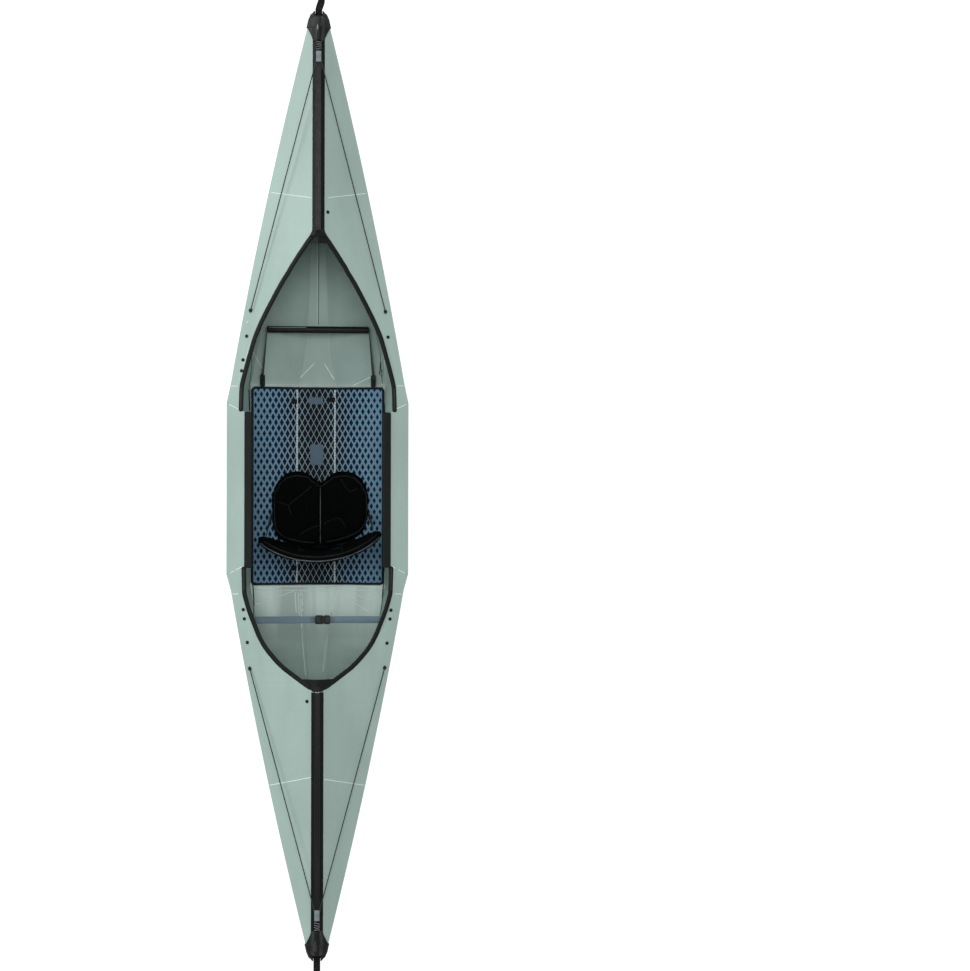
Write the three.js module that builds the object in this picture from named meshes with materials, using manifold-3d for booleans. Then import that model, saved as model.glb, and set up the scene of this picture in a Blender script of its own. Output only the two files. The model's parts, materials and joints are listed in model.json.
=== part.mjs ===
// A folding kayak with an open cockpit, folded up out of creased twin-wall plastic sheet.
// +Y is the bow, +X is the right hand of someone who sits in it, +Z is up.
// The origin is under the middle of the flat keel panel. Lengths are in millimetres.
import * as THREE from "three";
import { mergeVertices } from "three/addons/utils/BufferGeometryUtils.js";
import Module from "manifold-3d";

// Hull lines
const sheet = 5;
const crease_gap = 0.22;
const fit_gap = 0.3;
const round_sides = 24;
const loop_steps = 8;
const beam = 722;
const fold_beam = 686;
const end_beam = 76;
const gunwale_bulge = 14;
const sheer_height = 275;
const sheer_end_height = 330;
const near_fold_y = 416;
const far_fold_y = 1167;
const hull_end_y = 1840;
const chine_beam = 556;
const chine_end_beam = 36;
const chine_height = 42;
const chine_end_height = 215;
const keel_width = 156;
const keel_end_width = 18;
const keel_end_height = 134;
const keel_rise_power = 2.95;
const chine_rise_power = 1.75;
const keel_width_shares = [[0, 1], [0.1, 0.62], [0.25, 0.42], [0.53, 0.26], [1, 0]];
const station_shares = [0.1, 0.33, 0.46, 0.6, 0.73, 0.86];

// Decks and the cockpit opening
const side_deck_slope_share = 0.26;
const apex_slope_share = 0.44;
const side_deck_edge_x = 264;
const bow_corner_y = 330;
const bow_opening_half = 303;
const bow_opening_start_y = 300;
const bow_curve_start_y = 424;
const bow_apex_y = 993;
const bow_curve_share = 0.31;
const stern_corner_y = 350;
const stern_opening_half = 294;
const stern_opening_start_y = 322;
const stern_curve_start_y = 404;
const stern_apex_y = 799;
const stern_curve_share = 0.6;
const curve_step_shares = [0.2, 0.36, 0.52, 0.67, 0.8, 0.92, 1];
const apex_half = 12;
const seam_half = 1;
const flange_height = 16;
const flange_ramp = 10;

// Edgings and the seam channel
const trim_clearance = 0.6;
const trim_wall = 2.3;
const trim_nose = 4.5;
const trim_reach = 14;
const trim_setback = 1.5;
const trim_end_gap = 6;
const rail_wall = 3.6;
const rail_nose = 5;
const rail_reach = 26.5;
const rail_bow_y = 291;
const rail_stern_y = 322;
const channel_wall = 3.5;
const channel_side_wall = 4.6;
const channel_clearance = 0.5;
const channel_wing = 13;
const channel_wing_thickness = 2.4;
const channel_gap = 0.3;
const channel_setback = 85;
const channel_end_y = hull_end_y - channel_setback;
const channel_chamfer = 2.2;

// Apex plates
const plate_length = 34;
const plate_setback = 5;
const plate_thickness = 4;
const plate_drop = 2.5;
const plate_hem_depth = 9;
const plate_hem_width = 5;
const plate_clearance = 1.8;

// End caps, their pins and the grab loops
const cap_clearance = 0.5;
const cap_wall = 3;
const cap_mouth_lap = 28;
const cap_nose_reach = 44;
const cap_foot_reach = 16;
const cap_mouth_y = hull_end_y - cap_mouth_lap;
const cap_nose_y = hull_end_y + cap_nose_reach;
const cap_foot_y = hull_end_y + cap_foot_reach;
const cap_tongue_gap = 2;
const cap_lap = 6;
const cap_shoulder_share = 0.62;
const cap_shoulder_width_share = 0.78;
const cap_nose_width_share = 0.38;
const cap_nose_drop = 14;
const cap_shoulder_drop_share = 0.4;
const fork_half = 14.8;
const fork_depth = 30;
const fork_floor_drop = 38;
const pin_setback = 16;
const pin_drop = 48;
const pin_radius = 4;
const pin_clearance = 0.3;
const pin_ear_reach = 9;
const loop_width = 28;
const loop_thickness = 2;
const loop_length = 80;
const loop_far_radius = 12;

// Tension strap, ladder lock and deck cord near each end
const lock_width = 24;
const lock_length = 40;
const lock_base_height = 4;
const lock_rib_height = 4.5;
const lock_rib_count = 4;
const lock_rib_shares = [0.3, 0.6, 0.9];
const lock_setback = 3;
const strap_width = 20;
const strap_thickness = 1.6;
const strap_length = 40;
const cord_diameter = 4;
const cord_sides = 8;

// Floor
const board_thickness = 8;
const board_end_gap = 9;
const board_half_length = near_fold_y - board_end_gap;
const board_reach_share = 0.985;

// Seat and backrest
const seat_width = 394;
const seat_offset_x = 11;
const seat_turn_share = 0.06;
const seat_front_y = 57;
const seat_rear_y = -248;
const seat_top_height = 72;
const seat_clearance = 0.5;
const seat_chamfer = 14;
const seat_groove = 8;
const seat_edge_drop = 12;
const seat_edge_power = 4;
const seat_chamfer_share = 0.4;
const seat_shares = [
  [0, 0.155, 0], [0.05, 0.13, 0], [0.15, 0.085, 0], [0.3, 0.016, 0], [0.5, 0, 0],
  [0.7, 0.023, 0], [0.82, 0.08, 0.01], [0.92, 0.17, 0.05], [1, 0.3, 0.19],
];
const backrest_foot_lap = 0.5;
const backrest_thickness = 34;
const backrest_inner_radius = 386;
const backrest_foot_height = seat_top_height - seat_chamfer - backrest_foot_lap;
const backrest_top_height = 293;
const backrest_gap = 0.5;
const backrest_half_angle_deg = 36;
const backrest_lean_share = 0.064;
const backrest_chamfer = 9;
const backrest_chamfer_share = 1 / 3;
const backrest_shares = [
  [0, 0, 0, 1], [0.121, 0.015, 0.004, 1], [0.242, 0.03, 0.01, 1], [0.5, 0.085, 0.03, 1],
  [0.72, 0.14, 0.07, 1], [0.88, 0.23, 0.14, 0.92], [1, 0.36, 0.3, 0.6],
];
const backrest_strap_width = 25;
const backrest_strap_thickness = 1.6;
const backrest_strap_gap = 0.4;
const backrest_strap_seat_y = -120;
const backrest_strap_seat_height = 55;
const backrest_strap_pad_x = 226;
const backrest_strap_pad_height = 190;
const backrest_strap_twist_share = 0.6;
const backrest_strap_turn_share = 0.4;

// Footrest
const footrest_y = 640;
const footrest_length = 414;
const footrest_radius = 14;
const footrest_end_radius = 5;
const footrest_bevel_share = 0.25;
const footrest_clearance = 1.1;
const footrest_strap_width = 20;
const footrest_strap_thickness = 1.6;
const footrest_strap_lap = 10;
const footrest_buckle_x = 226;
const footrest_buckle_lean_deg = 62;
const footrest_buckle_length = 48;
const footrest_buckle_width = 32;
const footrest_buckle_thickness = 5;
const buckle_bar = 6;
const buckle_rim = 4;

// Cross strap with its side-release buckle
const cross_y = 539;
const cross_width = 28;
const cross_thickness = 1.8;
const cross_height = 200;
const cross_sag = 10;
const cross_tab = 30;
const cross_steps = 5;
const buckle_offset_x = 20;
const buckle_length = 60;
const buckle_width = 36;
const buckle_thickness = 13;
const buckle_corner = 4;
const socket_depth = 28;
const socket_width = 27;
const socket_height = 7;
const female_share = 0.57;
const window_length = 10;
const prong_clearance = 0.5;
const prong_width = 6;
const prong_length = 25;
const prong_spread = 9.5;
const cut_overrun = 5;

// Deck cord: its foot near the gunwale as [inboard, ahead, above the deck], and its bight round the strap
const cord_foot_x = 267;
const bow_cord_foot_y = 696;
const stern_cord_foot_y = 725;
const cord_foot_steps = [[0, 0, 2.3], [1.5, 5, 5.4], [4, 14, 7]];
const cord_bight = [[12.6, -10.3], [13, -5.2], [11.5, -0.2], [8.4, 3.7], [4.4, 5.9], [0, 6.7]];
const cord_run_steps = 6;

const bow = {
  name: "bow", sign: 1, corner_y: bow_corner_y, opening_half: bow_opening_half,
  opening_start_y: bow_opening_start_y, curve_start_y: bow_curve_start_y,
  apex_y: bow_apex_y, curve_share: bow_curve_share,
  cord_foot_y: bow_cord_foot_y,
};
const stern = {
  name: "stern", sign: -1, corner_y: stern_corner_y, opening_half: stern_opening_half,
  opening_start_y: stern_opening_start_y, curve_start_y: stern_curve_start_y,
  apex_y: stern_apex_y, curve_share: stern_curve_share,
  cord_foot_y: stern_cord_foot_y,
};
const ends = [bow, stern];
const sides = [{ name: "left", sign: -1 }, { name: "right", sign: 1 }];

const wasm = await Module();
wasm.setup();
const lerp = THREE.MathUtils.lerp;
const kayak = new THREE.Group();

const finishes = {
  sheet: { color: 0xa2b8b0, roughness: 0.42, metalness: 0 },
  rubber: { color: 0x1d201b, roughness: 0.75, metalness: 0 },
  moulded: { color: 0x242628, roughness: 0.5, metalness: 0 },
  extrusion: { color: 0x2a2a2c, roughness: 0.38, metalness: 0 },
  webbing: { color: 0x667884, roughness: 0.85, metalness: 0 },
  black_webbing: { color: 0x151617, roughness: 0.85, metalness: 0 },
  floor: { color: 0x5f7d92, roughness: 0.8, metalness: 0 },
  pad: { color: 0x0b0d0d, roughness: 0.7, metalness: 0 },
  steel: { color: 0x9a9c9e, roughness: 0.3, metalness: 1 },
};
const materials = {};
for (const [name, finish] of Object.entries(finishes)) {
  materials[name] = new THREE.MeshStandardMaterial(finish);
}

function add(name, geometry, finish) {
  const mesh = new THREE.Mesh(geometry, materials[finish]);
  mesh.name = name;
  kayak.add(mesh);
  return mesh;
}

// Value of a table of [place, value] pairs, straight between its rows.
function fromTable(table, place, column = 1) {
  let i = 1;
  while (i < table.length - 1 && table[i][0] < place) {
    i += 1;
  }
  const low = table[i - 1];
  const high = table[i];
  return lerp(low[column], high[column], (place - low[0]) / (high[0] - low[0]));
}

function ringPlane(ring) {
  const normal = new THREE.Vector3();
  ring.forEach((p, i) => normal.add(new THREE.Vector3().crossVectors(p, ring[(i + 1) % ring.length])));
  normal.normalize();
  const across = ring[1].clone().sub(ring[0]).projectOnPlane(normal).normalize();
  return [across, new THREE.Vector3().crossVectors(normal, across)];
}

// Triangles that close a ring, in the ring's own order.
function capTriangles(ring) {
  const [across, along] = ringPlane(ring);
  const flat = ring.map((p) => new THREE.Vector2(p.dot(across), p.dot(along)));
  return THREE.ShapeUtils.triangulateShape(flat, []).map((triangle) => {
    const area = THREE.ShapeUtils.area(triangle.map((i) => flat[i]));
    return area < 0 ? [triangle[0], triangle[2], triangle[1]] : triangle;
  });
}

function signedVolume(positions, index) {
  const corners = index.map((i) => new THREE.Vector3().fromArray(positions, 3 * i));
  let sum = 0;
  for (let i = 0; i < corners.length; i += 3) {
    sum += corners[i].dot(new THREE.Vector3().crossVectors(corners[i + 1], corners[i + 2]));
  }
  return sum;
}

// A closed solid through rings of points that all have the same count.
// Each four-sided face is split along its shorter diagonal, so both faces of a twisted sheet match.
function loft(rings, closed = false) {
  const size = rings[0].length;
  const points = rings.flat();
  const positions = points.flatMap((p) => p.toArray());
  const index = [];
  const spans = closed ? rings.length : rings.length - 1;
  for (let i = 0; i < spans; i += 1) {
    const next = (i + 1) % rings.length;
    for (let k = 0; k < size; k += 1) {
      const turn = (k + 1) % size;
      const [a, b] = [i * size + k, i * size + turn];
      const [c, d] = [next * size + k, next * size + turn];
      if (points[a].distanceTo(points[d]) <= points[b].distanceTo(points[c])) {
        index.push(a, b, d, a, d, c);
      } else {
        index.push(a, b, c, b, d, c);
      }
    }
  }
  if (!closed) {
    const last = (rings.length - 1) * size;
    capTriangles(rings[0]).forEach(([a, b, c]) => index.push(a, c, b));
    capTriangles(rings[rings.length - 1]).forEach((t) => index.push(...t.map((i) => last + i)));
  }
  if (signedVolume(positions, index) < 0) {
    index.reverse();
  }
  const geometry = new THREE.BufferGeometry();
  geometry.setAttribute("position", new THREE.Float32BufferAttribute(positions, 3));
  geometry.setIndex(index);
  geometry.computeVertexNormals();
  return geometry;
}

// The same solid on the other side or the other end, with its faces still pointing out.
function mirrored(geometry, side, end) {
  const copy = geometry.clone().applyMatrix4(new THREE.Matrix4().makeScale(side, end, 1));
  if (side * end < 0) {
    copy.setIndex([...copy.index.array].reverse());
  }
  return copy;
}

function toSolid(geometry) {
  const bare = geometry.clone();
  bare.deleteAttribute("normal");
  bare.deleteAttribute("uv");
  const merged = mergeVertices(bare);
  const vertProperties = new Float32Array(merged.attributes.position.array);
  const triVerts = new Uint32Array(merged.index.array);
  return new wasm.Manifold(new wasm.Mesh({ numProp: 3, vertProperties, triVerts }));
}

function toGeometry(solid) {
  const mesh = solid.getMesh();
  const geometry = new THREE.BufferGeometry();
  geometry.setAttribute("position", new THREE.BufferAttribute(mesh.vertProperties, 3));
  geometry.setIndex(new THREE.BufferAttribute(mesh.triVerts, 1));
  return geometry;
}

function box(low, high) {
  const geometry = new THREE.BoxGeometry(high[0] - low[0], high[1] - low[1], high[2] - low[2]);
  const middle = low.map((value, i) => (value + high[i]) / 2);
  return geometry.translate(...middle);
}

// Hull lines as functions of the place along the boat

function endOf(y) {
  return y < 0 ? stern : bow;
}

function endShare(y) {
  return Math.max(0, (Math.abs(y) - near_fold_y) / (hull_end_y - near_fold_y));
}

function gunwale(y) {
  const place = Math.abs(y);
  const corner = endOf(y).corner_y;
  const t = endShare(y);
  const z = lerp(sheer_height, sheer_end_height, (place / hull_end_y) ** 2);
  if (place <= near_fold_y) {
    const turned = Math.max(0, (place - corner) / (near_fold_y - corner));
    return new THREE.Vector2(lerp(beam, fold_beam, turned) / 2, z);
  }
  const bulge = 4 * gunwale_bulge * t * (1 - t);
  return new THREE.Vector2(lerp(fold_beam, end_beam, t) / 2 + bulge, z);
}

function chine(y) {
  const t = endShare(y);
  const z = lerp(chine_height, chine_end_height, t ** chine_rise_power);
  return new THREE.Vector2(lerp(chine_beam, chine_end_beam, t) / 2, z);
}

function keel(y) {
  const t = endShare(y);
  const width = lerp(keel_end_width, keel_width, fromTable(keel_width_shares, t));
  return new THREE.Vector2(width / 2, keel_end_height * t ** keel_rise_power);
}

function deckSlope(y) {
  const end = endOf(y);
  const share = (Math.abs(y) - end.corner_y) / (end.apex_y - end.corner_y);
  return lerp(side_deck_slope_share, apex_slope_share, THREE.MathUtils.clamp(share, 0, 1));
}

function deckPoint(x, y) {
  const edge = gunwale(y);
  return new THREE.Vector2(x, edge.y + deckSlope(y) * (edge.x - x));
}

function outward(from, to) {
  const run = to.clone().sub(from).normalize();
  return new THREE.Vector2(run.y, -run.x);
}

function deckNormal(y) {
  return new THREE.Vector2(deckSlope(y), 1).normalize();
}

// The point a depth inside the sheet where two panels of one section meet.
function mitre(point, normal_a, normal_b, depth) {
  const sum = normal_a.clone().add(normal_b);
  return point.clone().addScaledVector(sum, -depth / (1 + normal_a.dot(normal_b)));
}

// Creases of the hull's section at y, a depth inside the outer surface.
function section(y, depth = 0) {
  const [k, c, g] = [keel(y), chine(y), gunwale(y)];
  const [bilge, topside] = [outward(k, c), outward(c, g)];
  return {
    keel: mitre(k, new THREE.Vector2(0, -1), bilge, depth),
    chine: mitre(c, bilge, topside, depth),
    gunwale: mitre(g, topside, deckNormal(y), depth),
  };
}

function at(point, y) {
  return new THREE.Vector3(point.x, y, point.y);
}

function toward(point, target, distance) {
  return point.clone().add(target.clone().sub(point).setLength(distance));
}

// Where the trim stops, short of the cockpit's point.
function trimStop(end) {
  return end.apex_y - trim_end_gap;
}

// Places along one end where every panel has a ring, so that their creases match.
function endStations(end) {
  const curve = [...curve_step_shares.map((t) => coamingPlace(end, t)), trimStop(end)];
  const beyond = end.apex_y + flange_ramp;
  const far = station_shares.map((share) => lerp(beyond, hull_end_y, share));
  const all = [end.curve_start_y, near_fold_y, ...curve, beyond, far_fold_y, ...far];
  return [...all, channel_end_y, hull_end_y].sort((a, b) => a - b);
}

function foldStations(end) {
  const places = endStations(end).filter((y) => y > near_fold_y);
  return [near_fold_y + crease_gap, ...places].map((y) => end.sign * y);
}

function midStations() {
  const bow_part = [near_fold_y - crease_gap, bow_curve_start_y, bow_corner_y, bow_corner_y / 2];
  const stern_part = [stern_corner_y / 2, stern_corner_y, stern_curve_start_y, near_fold_y - crease_gap];
  const places = [...bow_part, 0, ...stern_part.map((y) => -y)];
  return places.filter((y) => Math.abs(y) < near_fold_y);
}

// Creased panels of the hull

function keelRing(y) {
  const [outer, inner] = [section(y).keel, section(y, sheet).keel];
  const ring = [outer, inner].map((p) => new THREE.Vector2(p.x - crease_gap, p.y));
  const [low, high] = ring;
  const flip = (p) => new THREE.Vector2(-p.x, p.y);
  return [flip(low), low, high, flip(high)].map((p) => at(p, y));
}

function panelRing(y, from, to) {
  const [outer, inner] = [section(y), section(y, sheet)];
  const start = [outer, inner].map((s) => toward(s[from], s[to], crease_gap));
  const finish = [outer, inner].map((s) => toward(s[to], s[from], crease_gap));
  return [start[0], finish[0], finish[1], start[1]].map((p) => at(p, y));
}

function hullPanels(part, stations) {
  add(`keel_panel_${part}`, loft(stations.map(keelRing)), "sheet");
  for (const side of sides) {
    const bilge = loft(stations.map((y) => panelRing(y, "keel", "chine")));
    const topside = loft(stations.map((y) => panelRing(y, "chine", "gunwale")));
    add(`bilge_panel_${part}_${side.name}`, mirrored(bilge, side.sign, 1), "sheet");
    add(`side_panel_${part}_${side.name}`, mirrored(topside, side.sign, 1), "sheet");
  }
}

// Decks, on the right of the bow; the other three are mirrored

// The coaming is straight beside the cockpit, then one curve to the apex. t runs along that curve.
function coamingPlace(end, t) {
  const u = 2 * end.curve_share * t * (1 - t) + t * t;
  return lerp(end.curve_start_y, end.apex_y, u);
}

function coamingHalf(end, y) {
  if (y <= end.curve_start_y) {
    return end.opening_half;
  }
  const u = (y - end.curve_start_y) / (end.apex_y - end.curve_start_y);
  const a = end.curve_share;
  const t = (Math.sqrt(a * a + (1 - 2 * a) * u) - a) / (1 - 2 * a);
  return lerp(end.opening_half, apex_half, t * t);
}

function deckZ(end, x, y) {
  return deckPoint(x, end.sign * y).y;
}

function deckEdges(end, y) {
  const signed = end.sign * y;
  const [outer, inner] = [section(signed).gunwale, section(signed, sheet).gunwale];
  const target = deckPoint(0, signed);
  const drop = outer.clone().sub(inner);
  const pulled = toward(outer, target, crease_gap);
  return [at(pulled, y), at(pulled.clone().sub(drop), y)];
}

// One section of a deck: the gunwale, the top, the edge or upturned seam flange, the underside.
function deckRing(end, y, x, height, edge_y = y) {
  const [outer, inner] = deckEdges(end, y);
  const width = outer.x - x;
  const place = (across) => lerp(edge_y, y, (across - x) / width);
  const top = (across, rise) => {
    const p = place(across);
    return new THREE.Vector3(across, p, deckZ(end, across, p) + rise);
  };
  const slope = deckSlope(end.sign * y);
  const under = new THREE.Vector3(x, edge_y, deckZ(end, x, edge_y) - sheet * Math.hypot(1, slope));
  const step = height > 0 ? sheet : sheet / 2;
  inner.y = place(inner.x);
  return [outer, top(x + sheet, 0), top(x + step, height), top(x, height), under, inner];
}

// Two rings beside the corner crease are pushed back from it by the crease gap.
function deckPanel(end) {
  const corner = end.corner_y + crease_gap;
  const first = deckRing(end, corner, end.opening_half, 0, end.opening_start_y + crease_gap);
  const open = endStations(end).filter((y) => y <= end.apex_y + crease_gap);
  const seam = endStations(end).filter((y) => y > end.apex_y + crease_gap);
  const rings = open.map((y) => deckRing(end, y, coamingHalf(end, y), 0));
  const seam_rings = seam.map((y) => deckRing(end, y, seam_half, flange_height));
  return loft([first, ...rings, ...seam_rings]);
}

// Where the corner crease of an end, carried on inboard, reaches the side deck's inner edge.
function sideDeckEnd(end) {
  const run = (end.corner_y - end.opening_start_y) / (beam / 2 - end.opening_half);
  return end.corner_y - run * (beam / 2 - side_deck_edge_x);
}

function sideDeckRing(y, edge_y) {
  const [outer, inner] = deckEdges(endOf(y), Math.abs(y)).map((p) => new THREE.Vector3(p.x, y, p.z));
  const place = (x) => lerp(edge_y, y, (x - side_deck_edge_x) / (outer.x - side_deck_edge_x));
  const edge = deckPoint(side_deck_edge_x, edge_y);
  const under = edge.clone().addScaledVector(deckNormal(edge_y), -sheet);
  inner.y = place(inner.x);
  return [outer, at(edge, edge_y), at(under, place(under.x)), inner];
}

function sideDeckPlaces() {
  const bow_end = [bow_corner_y - crease_gap, sideDeckEnd(bow) - crease_gap];
  const stern_end = [crease_gap - stern_corner_y, crease_gap - sideDeckEnd(stern)];
  const between = [bow_corner_y / 2, 0, -stern_corner_y / 2].map((y) => [y, y]);
  return [bow_end, ...between, stern_end];
}

function sideDeck() {
  return loft(sideDeckPlaces().map(([y, edge_y]) => sideDeckRing(y, edge_y)));
}

// Edgings: a U section that grips the sheet's edge

// Turns (reach over the sheet, height over its top) into a point at one place of the edge.
function edgeFrames(edge, inboard_targets) {
  return edge.map((p, i) => {
    const before = edge[Math.max(0, i - 1)];
    const after = edge[Math.min(edge.length - 1, i + 1)];
    const along = after.clone().sub(before).normalize();
    const over = inboard_targets[i].clone().sub(p);
    const up = new THREE.Vector3().crossVectors(over, along).normalize();
    if (up.z < 0) {
      up.negate();
    }
    const into = over.projectOnPlane(along).projectOnPlane(up).normalize();
    return ([reach, height]) => p.clone().addScaledVector(into, reach).addScaledVector(up, height);
  });
}

function edgingProfile(nose, reach, wall) {
  const slot_top = trim_clearance;
  const slot_low = -sheet - trim_clearance;
  const [top, low] = [slot_top + wall, slot_low - wall];
  const round = wall;
  const back = -trim_clearance - nose;
  return [
    [back + round, top], [reach - wall / 2, top], [reach, top - wall / 2], [reach, slot_top],
    [-trim_clearance, slot_top], [-trim_clearance, slot_low], [reach, slot_low],
    [reach, low + wall / 2], [reach - wall / 2, low], [back + round, low],
    [back, low + round], [back, top - round],
  ];
}

function edging(edge, targets, profile) {
  return loft(edgeFrames(edge, targets).map((frame) => profile.map(frame)));
}

function coamingTrim(end) {
  const start = end.opening_start_y + trim_setback;
  const middle = endStations(end).filter((y) => y > start && y <= trimStop(end));
  const places = [start, ...middle];
  const edge = places.map((y) => {
    const x = coamingHalf(end, y);
    return new THREE.Vector3(x, y, deckZ(end, x, y));
  });
  const targets = places.map((y) => at(gunwale(end.sign * y), y));
  return edging(edge, targets, edgingProfile(trim_nose, trim_reach, trim_wall));
}

function sideRail() {
  const places = [rail_bow_y, ...sideDeckPlaces().slice(1, -1).map(([y]) => y), -rail_stern_y];
  const edge = places.map((y) => at(deckPoint(side_deck_edge_x, y), y));
  const targets = places.map((y) => at(gunwale(y), y));
  return edging(edge, targets, edgingProfile(rail_nose, rail_reach, rail_wall));
}

// The channel that grips both seam flanges: a hat section with a wing on each deck

function bandInner() {
  return seam_half + sheet + channel_clearance;
}

function channelTop(end, y) {
  return deckZ(end, seam_half, y) + flange_height + channel_clearance + channel_wall;
}

function hatRing(end, y) {
  const inner = bandInner();
  const outer = inner + channel_side_wall;
  const tip = outer + channel_wing;
  const foot = (x) => deckZ(end, x, y) + channel_gap;
  const roof = channelTop(end, y) - channel_wall;
  const top = channelTop(end, y);
  const half = [
    [inner, roof], [inner, foot(inner)], [tip, foot(tip)],
    [tip, foot(tip) + channel_wing_thickness], [outer, foot(outer) + channel_wing_thickness],
    [outer, top - channel_chamfer], [outer - channel_chamfer, top],
  ];
  const other = half.map(([x, z]) => [-x, z]).reverse();
  return [...half, ...other].map(([x, z]) => new THREE.Vector3(x, y, z));
}

function deckChannel(end) {
  const start = end.apex_y + flange_ramp + channel_clearance;
  const places = endStations(end).filter((y) => y > start && y < channel_end_y);
  return loft([start, ...places, channel_end_y].map((y) => hatRing(end, y)));
}

// A folded plate that fills the point of the cockpit, between the two trims, with a hem on its free edge
function apexPlate(end) {
  const outer_y = end.apex_y - plate_setback;
  const inner_y = outer_y - plate_length;
  const inset = trim_clearance + trim_nose + plate_clearance;
  const ring = (y, depth) => {
    const run = (coamingHalf(end, y - sheet) - coamingHalf(end, y + sheet)) / (2 * sheet);
    const half = coamingHalf(end, y) - inset * Math.hypot(1, run);
    const high = (x) => new THREE.Vector3(x, y, deckZ(end, Math.abs(x), y) - plate_drop + plate_thickness);
    const low = (x) => high(x).setZ(high(x).z - depth);
    return [low(0), low(half), high(half), high(0), high(-half), low(-half)];
  };
  const hem = plate_thickness + plate_hem_depth;
  const rings = [ring(inner_y, hem), ring(inner_y + plate_hem_width, hem)];
  rings.push(ring(inner_y + 2 * plate_hem_width, plate_thickness), ring(outer_y, plate_thickness));
  return loft(rings);
}

// End caps

// Corners of the whole section at the hull's end, seam flanges included, on the right side.
function endOutline(end, y) {
  const s = section(end.sign * y);
  const band = seam_half + sheet;
  const crest = deckZ(end, seam_half, y) + flange_height;
  return [s.keel, s.chine, s.gunwale, new THREE.Vector2(band, deckZ(end, band, y)),
    new THREE.Vector2(band, crest)];
}

function wholeOutline(half) {
  return [...half, ...half.map((p) => new THREE.Vector2(-p.x, p.y)).reverse()];
}

// The outline moved outwards by a distance, with sharp corners.
function grown(points, distance) {
  return points.map((p, i) => {
    const before = points[(i + points.length - 1) % points.length];
    const after = points[(i + 1) % points.length];
    return mitre(p, outward(before, p), outward(p, after), -distance);
  });
}

function capBody(end) {
  const reach = cap_clearance + cap_wall;
  const outline = (y) => grown(wholeOutline(endOutline(end, y)), reach);
  const mouth = outline(cap_mouth_y);
  const throat_y = hull_end_y + reach;
  const throat = outline(hull_end_y);
  const top = Math.max(...throat.map((p) => p.y));
  const low = Math.min(...throat.map((p) => p.y));
  const nose = (width_share, advance, drop_share) => throat.map((p) => {
    const up = (p.y - low) / (top - low);
    const y = lerp(throat_y, lerp(cap_foot_y, cap_nose_y, up), advance);
    const z = p.y - drop_share * cap_nose_drop * (2 * up - 1);
    return new THREE.Vector3(p.x * width_share, y, z);
  });
  return loft([
    mouth.map((p) => at(p, cap_mouth_y)),
    throat.map((p) => at(p, throat_y)),
    nose(cap_shoulder_width_share, cap_shoulder_share, cap_shoulder_drop_share),
    nose(cap_nose_width_share, 1, 1),
  ]);
}

function capTongue(end) {
  const start = channel_end_y + cap_tongue_gap;
  return loft([start, cap_mouth_y, cap_mouth_y + cap_lap].map((y) => hatRing(end, y)));
}

function capCavity(end) {
  const ring = (y, from) => grown(wholeOutline(endOutline(end, from)), cap_clearance).map((p) => at(p, y));
  const start = channel_end_y;
  return loft([ring(start, start), ring(hull_end_y + cap_clearance, hull_end_y)]);
}

function pinPlace(end) {
  const top = channelTop(end, hull_end_y);
  return { y: cap_nose_y - pin_setback, z: top - pin_drop };
}

function pinShape(radius, half_length, place) {
  const geometry = new THREE.CylinderGeometry(radius, radius, 2 * half_length, round_sides);
  return geometry.rotateZ(Math.PI / 2).translate(0, place.y, place.z);
}

function endCap(end) {
  const pin = pinPlace(end);
  const fork_low = [-fork_half, cap_nose_y - fork_depth, pin.z - fork_floor_drop];
  const fork_high = [fork_half, cap_nose_y + cut_overrun, channelTop(end, hull_end_y) + cut_overrun];
  const hole = pinShape(pin_radius + pin_clearance, fork_half + pin_ear_reach + pin_clearance, pin);
  const shell = toSolid(capBody(end)).add(toSolid(capTongue(end)));
  const hollow = shell.subtract(toSolid(capCavity(end)));
  return toGeometry(hollow.subtract(toSolid(box(fork_low, fork_high))).subtract(toSolid(hole)));
}

// Webbing: a strip of constant width along a path, with its face square to the path

function strapCorners(p, side, face) {
  const corners = [[1, 1], [1, -1], [-1, -1], [-1, 1]];
  return corners.map(([a, b]) => p.clone().addScaledVector(side, a).addScaledVector(face, b));
}

// across is one direction for the whole strip, or a list with one direction for each point.
function band(path, across, width, thickness, closed = false) {
  const rings = path.map((p, i) => {
    const over = Array.isArray(across) ? across[i] : across;
    const before = closed ? path[(i + path.length - 1) % path.length] : path[Math.max(0, i - 1)];
    const after = closed ? path[(i + 1) % path.length] : path[Math.min(path.length - 1, i + 1)];
    const along = after.clone().sub(before).normalize();
    const side = over.clone().setLength(width / 2);
    const face = new THREE.Vector3().crossVectors(along, over).setLength(thickness / 2);
    return strapCorners(p, side, face);
  });
  return loft(rings, closed);
}

// A closed loop round two circles of one vertical fore-and-aft plane.
function loopPath(near, near_radius, far, far_radius, steps) {
  const gap = Math.hypot(far.y - near.y, far.z - near.z);
  const heading = Math.atan2(far.z - near.z, far.y - near.y);
  const tangent = Math.acos((near_radius - far_radius) / gap);
  const arc = (centre, radius, from, to) => {
    const points = [];
    for (let i = 0; i <= steps; i += 1) {
      const angle = heading + lerp(from, to, i / steps);
      const [y, z] = [centre.y + radius * Math.cos(angle), centre.z + radius * Math.sin(angle)];
      points.push(new THREE.Vector3(0, y, z));
    }
    return points;
  };
  const far_arc = arc(far, far_radius, -tangent, tangent);
  const near_arc = arc(near, near_radius, tangent, 2 * Math.PI - tangent);
  return [...far_arc, ...near_arc];
}

const across_x = new THREE.Vector3(1, 0, 0);
const across_y = new THREE.Vector3(0, 1, 0);
const across_z = new THREE.Vector3(0, 0, 1);

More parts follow.
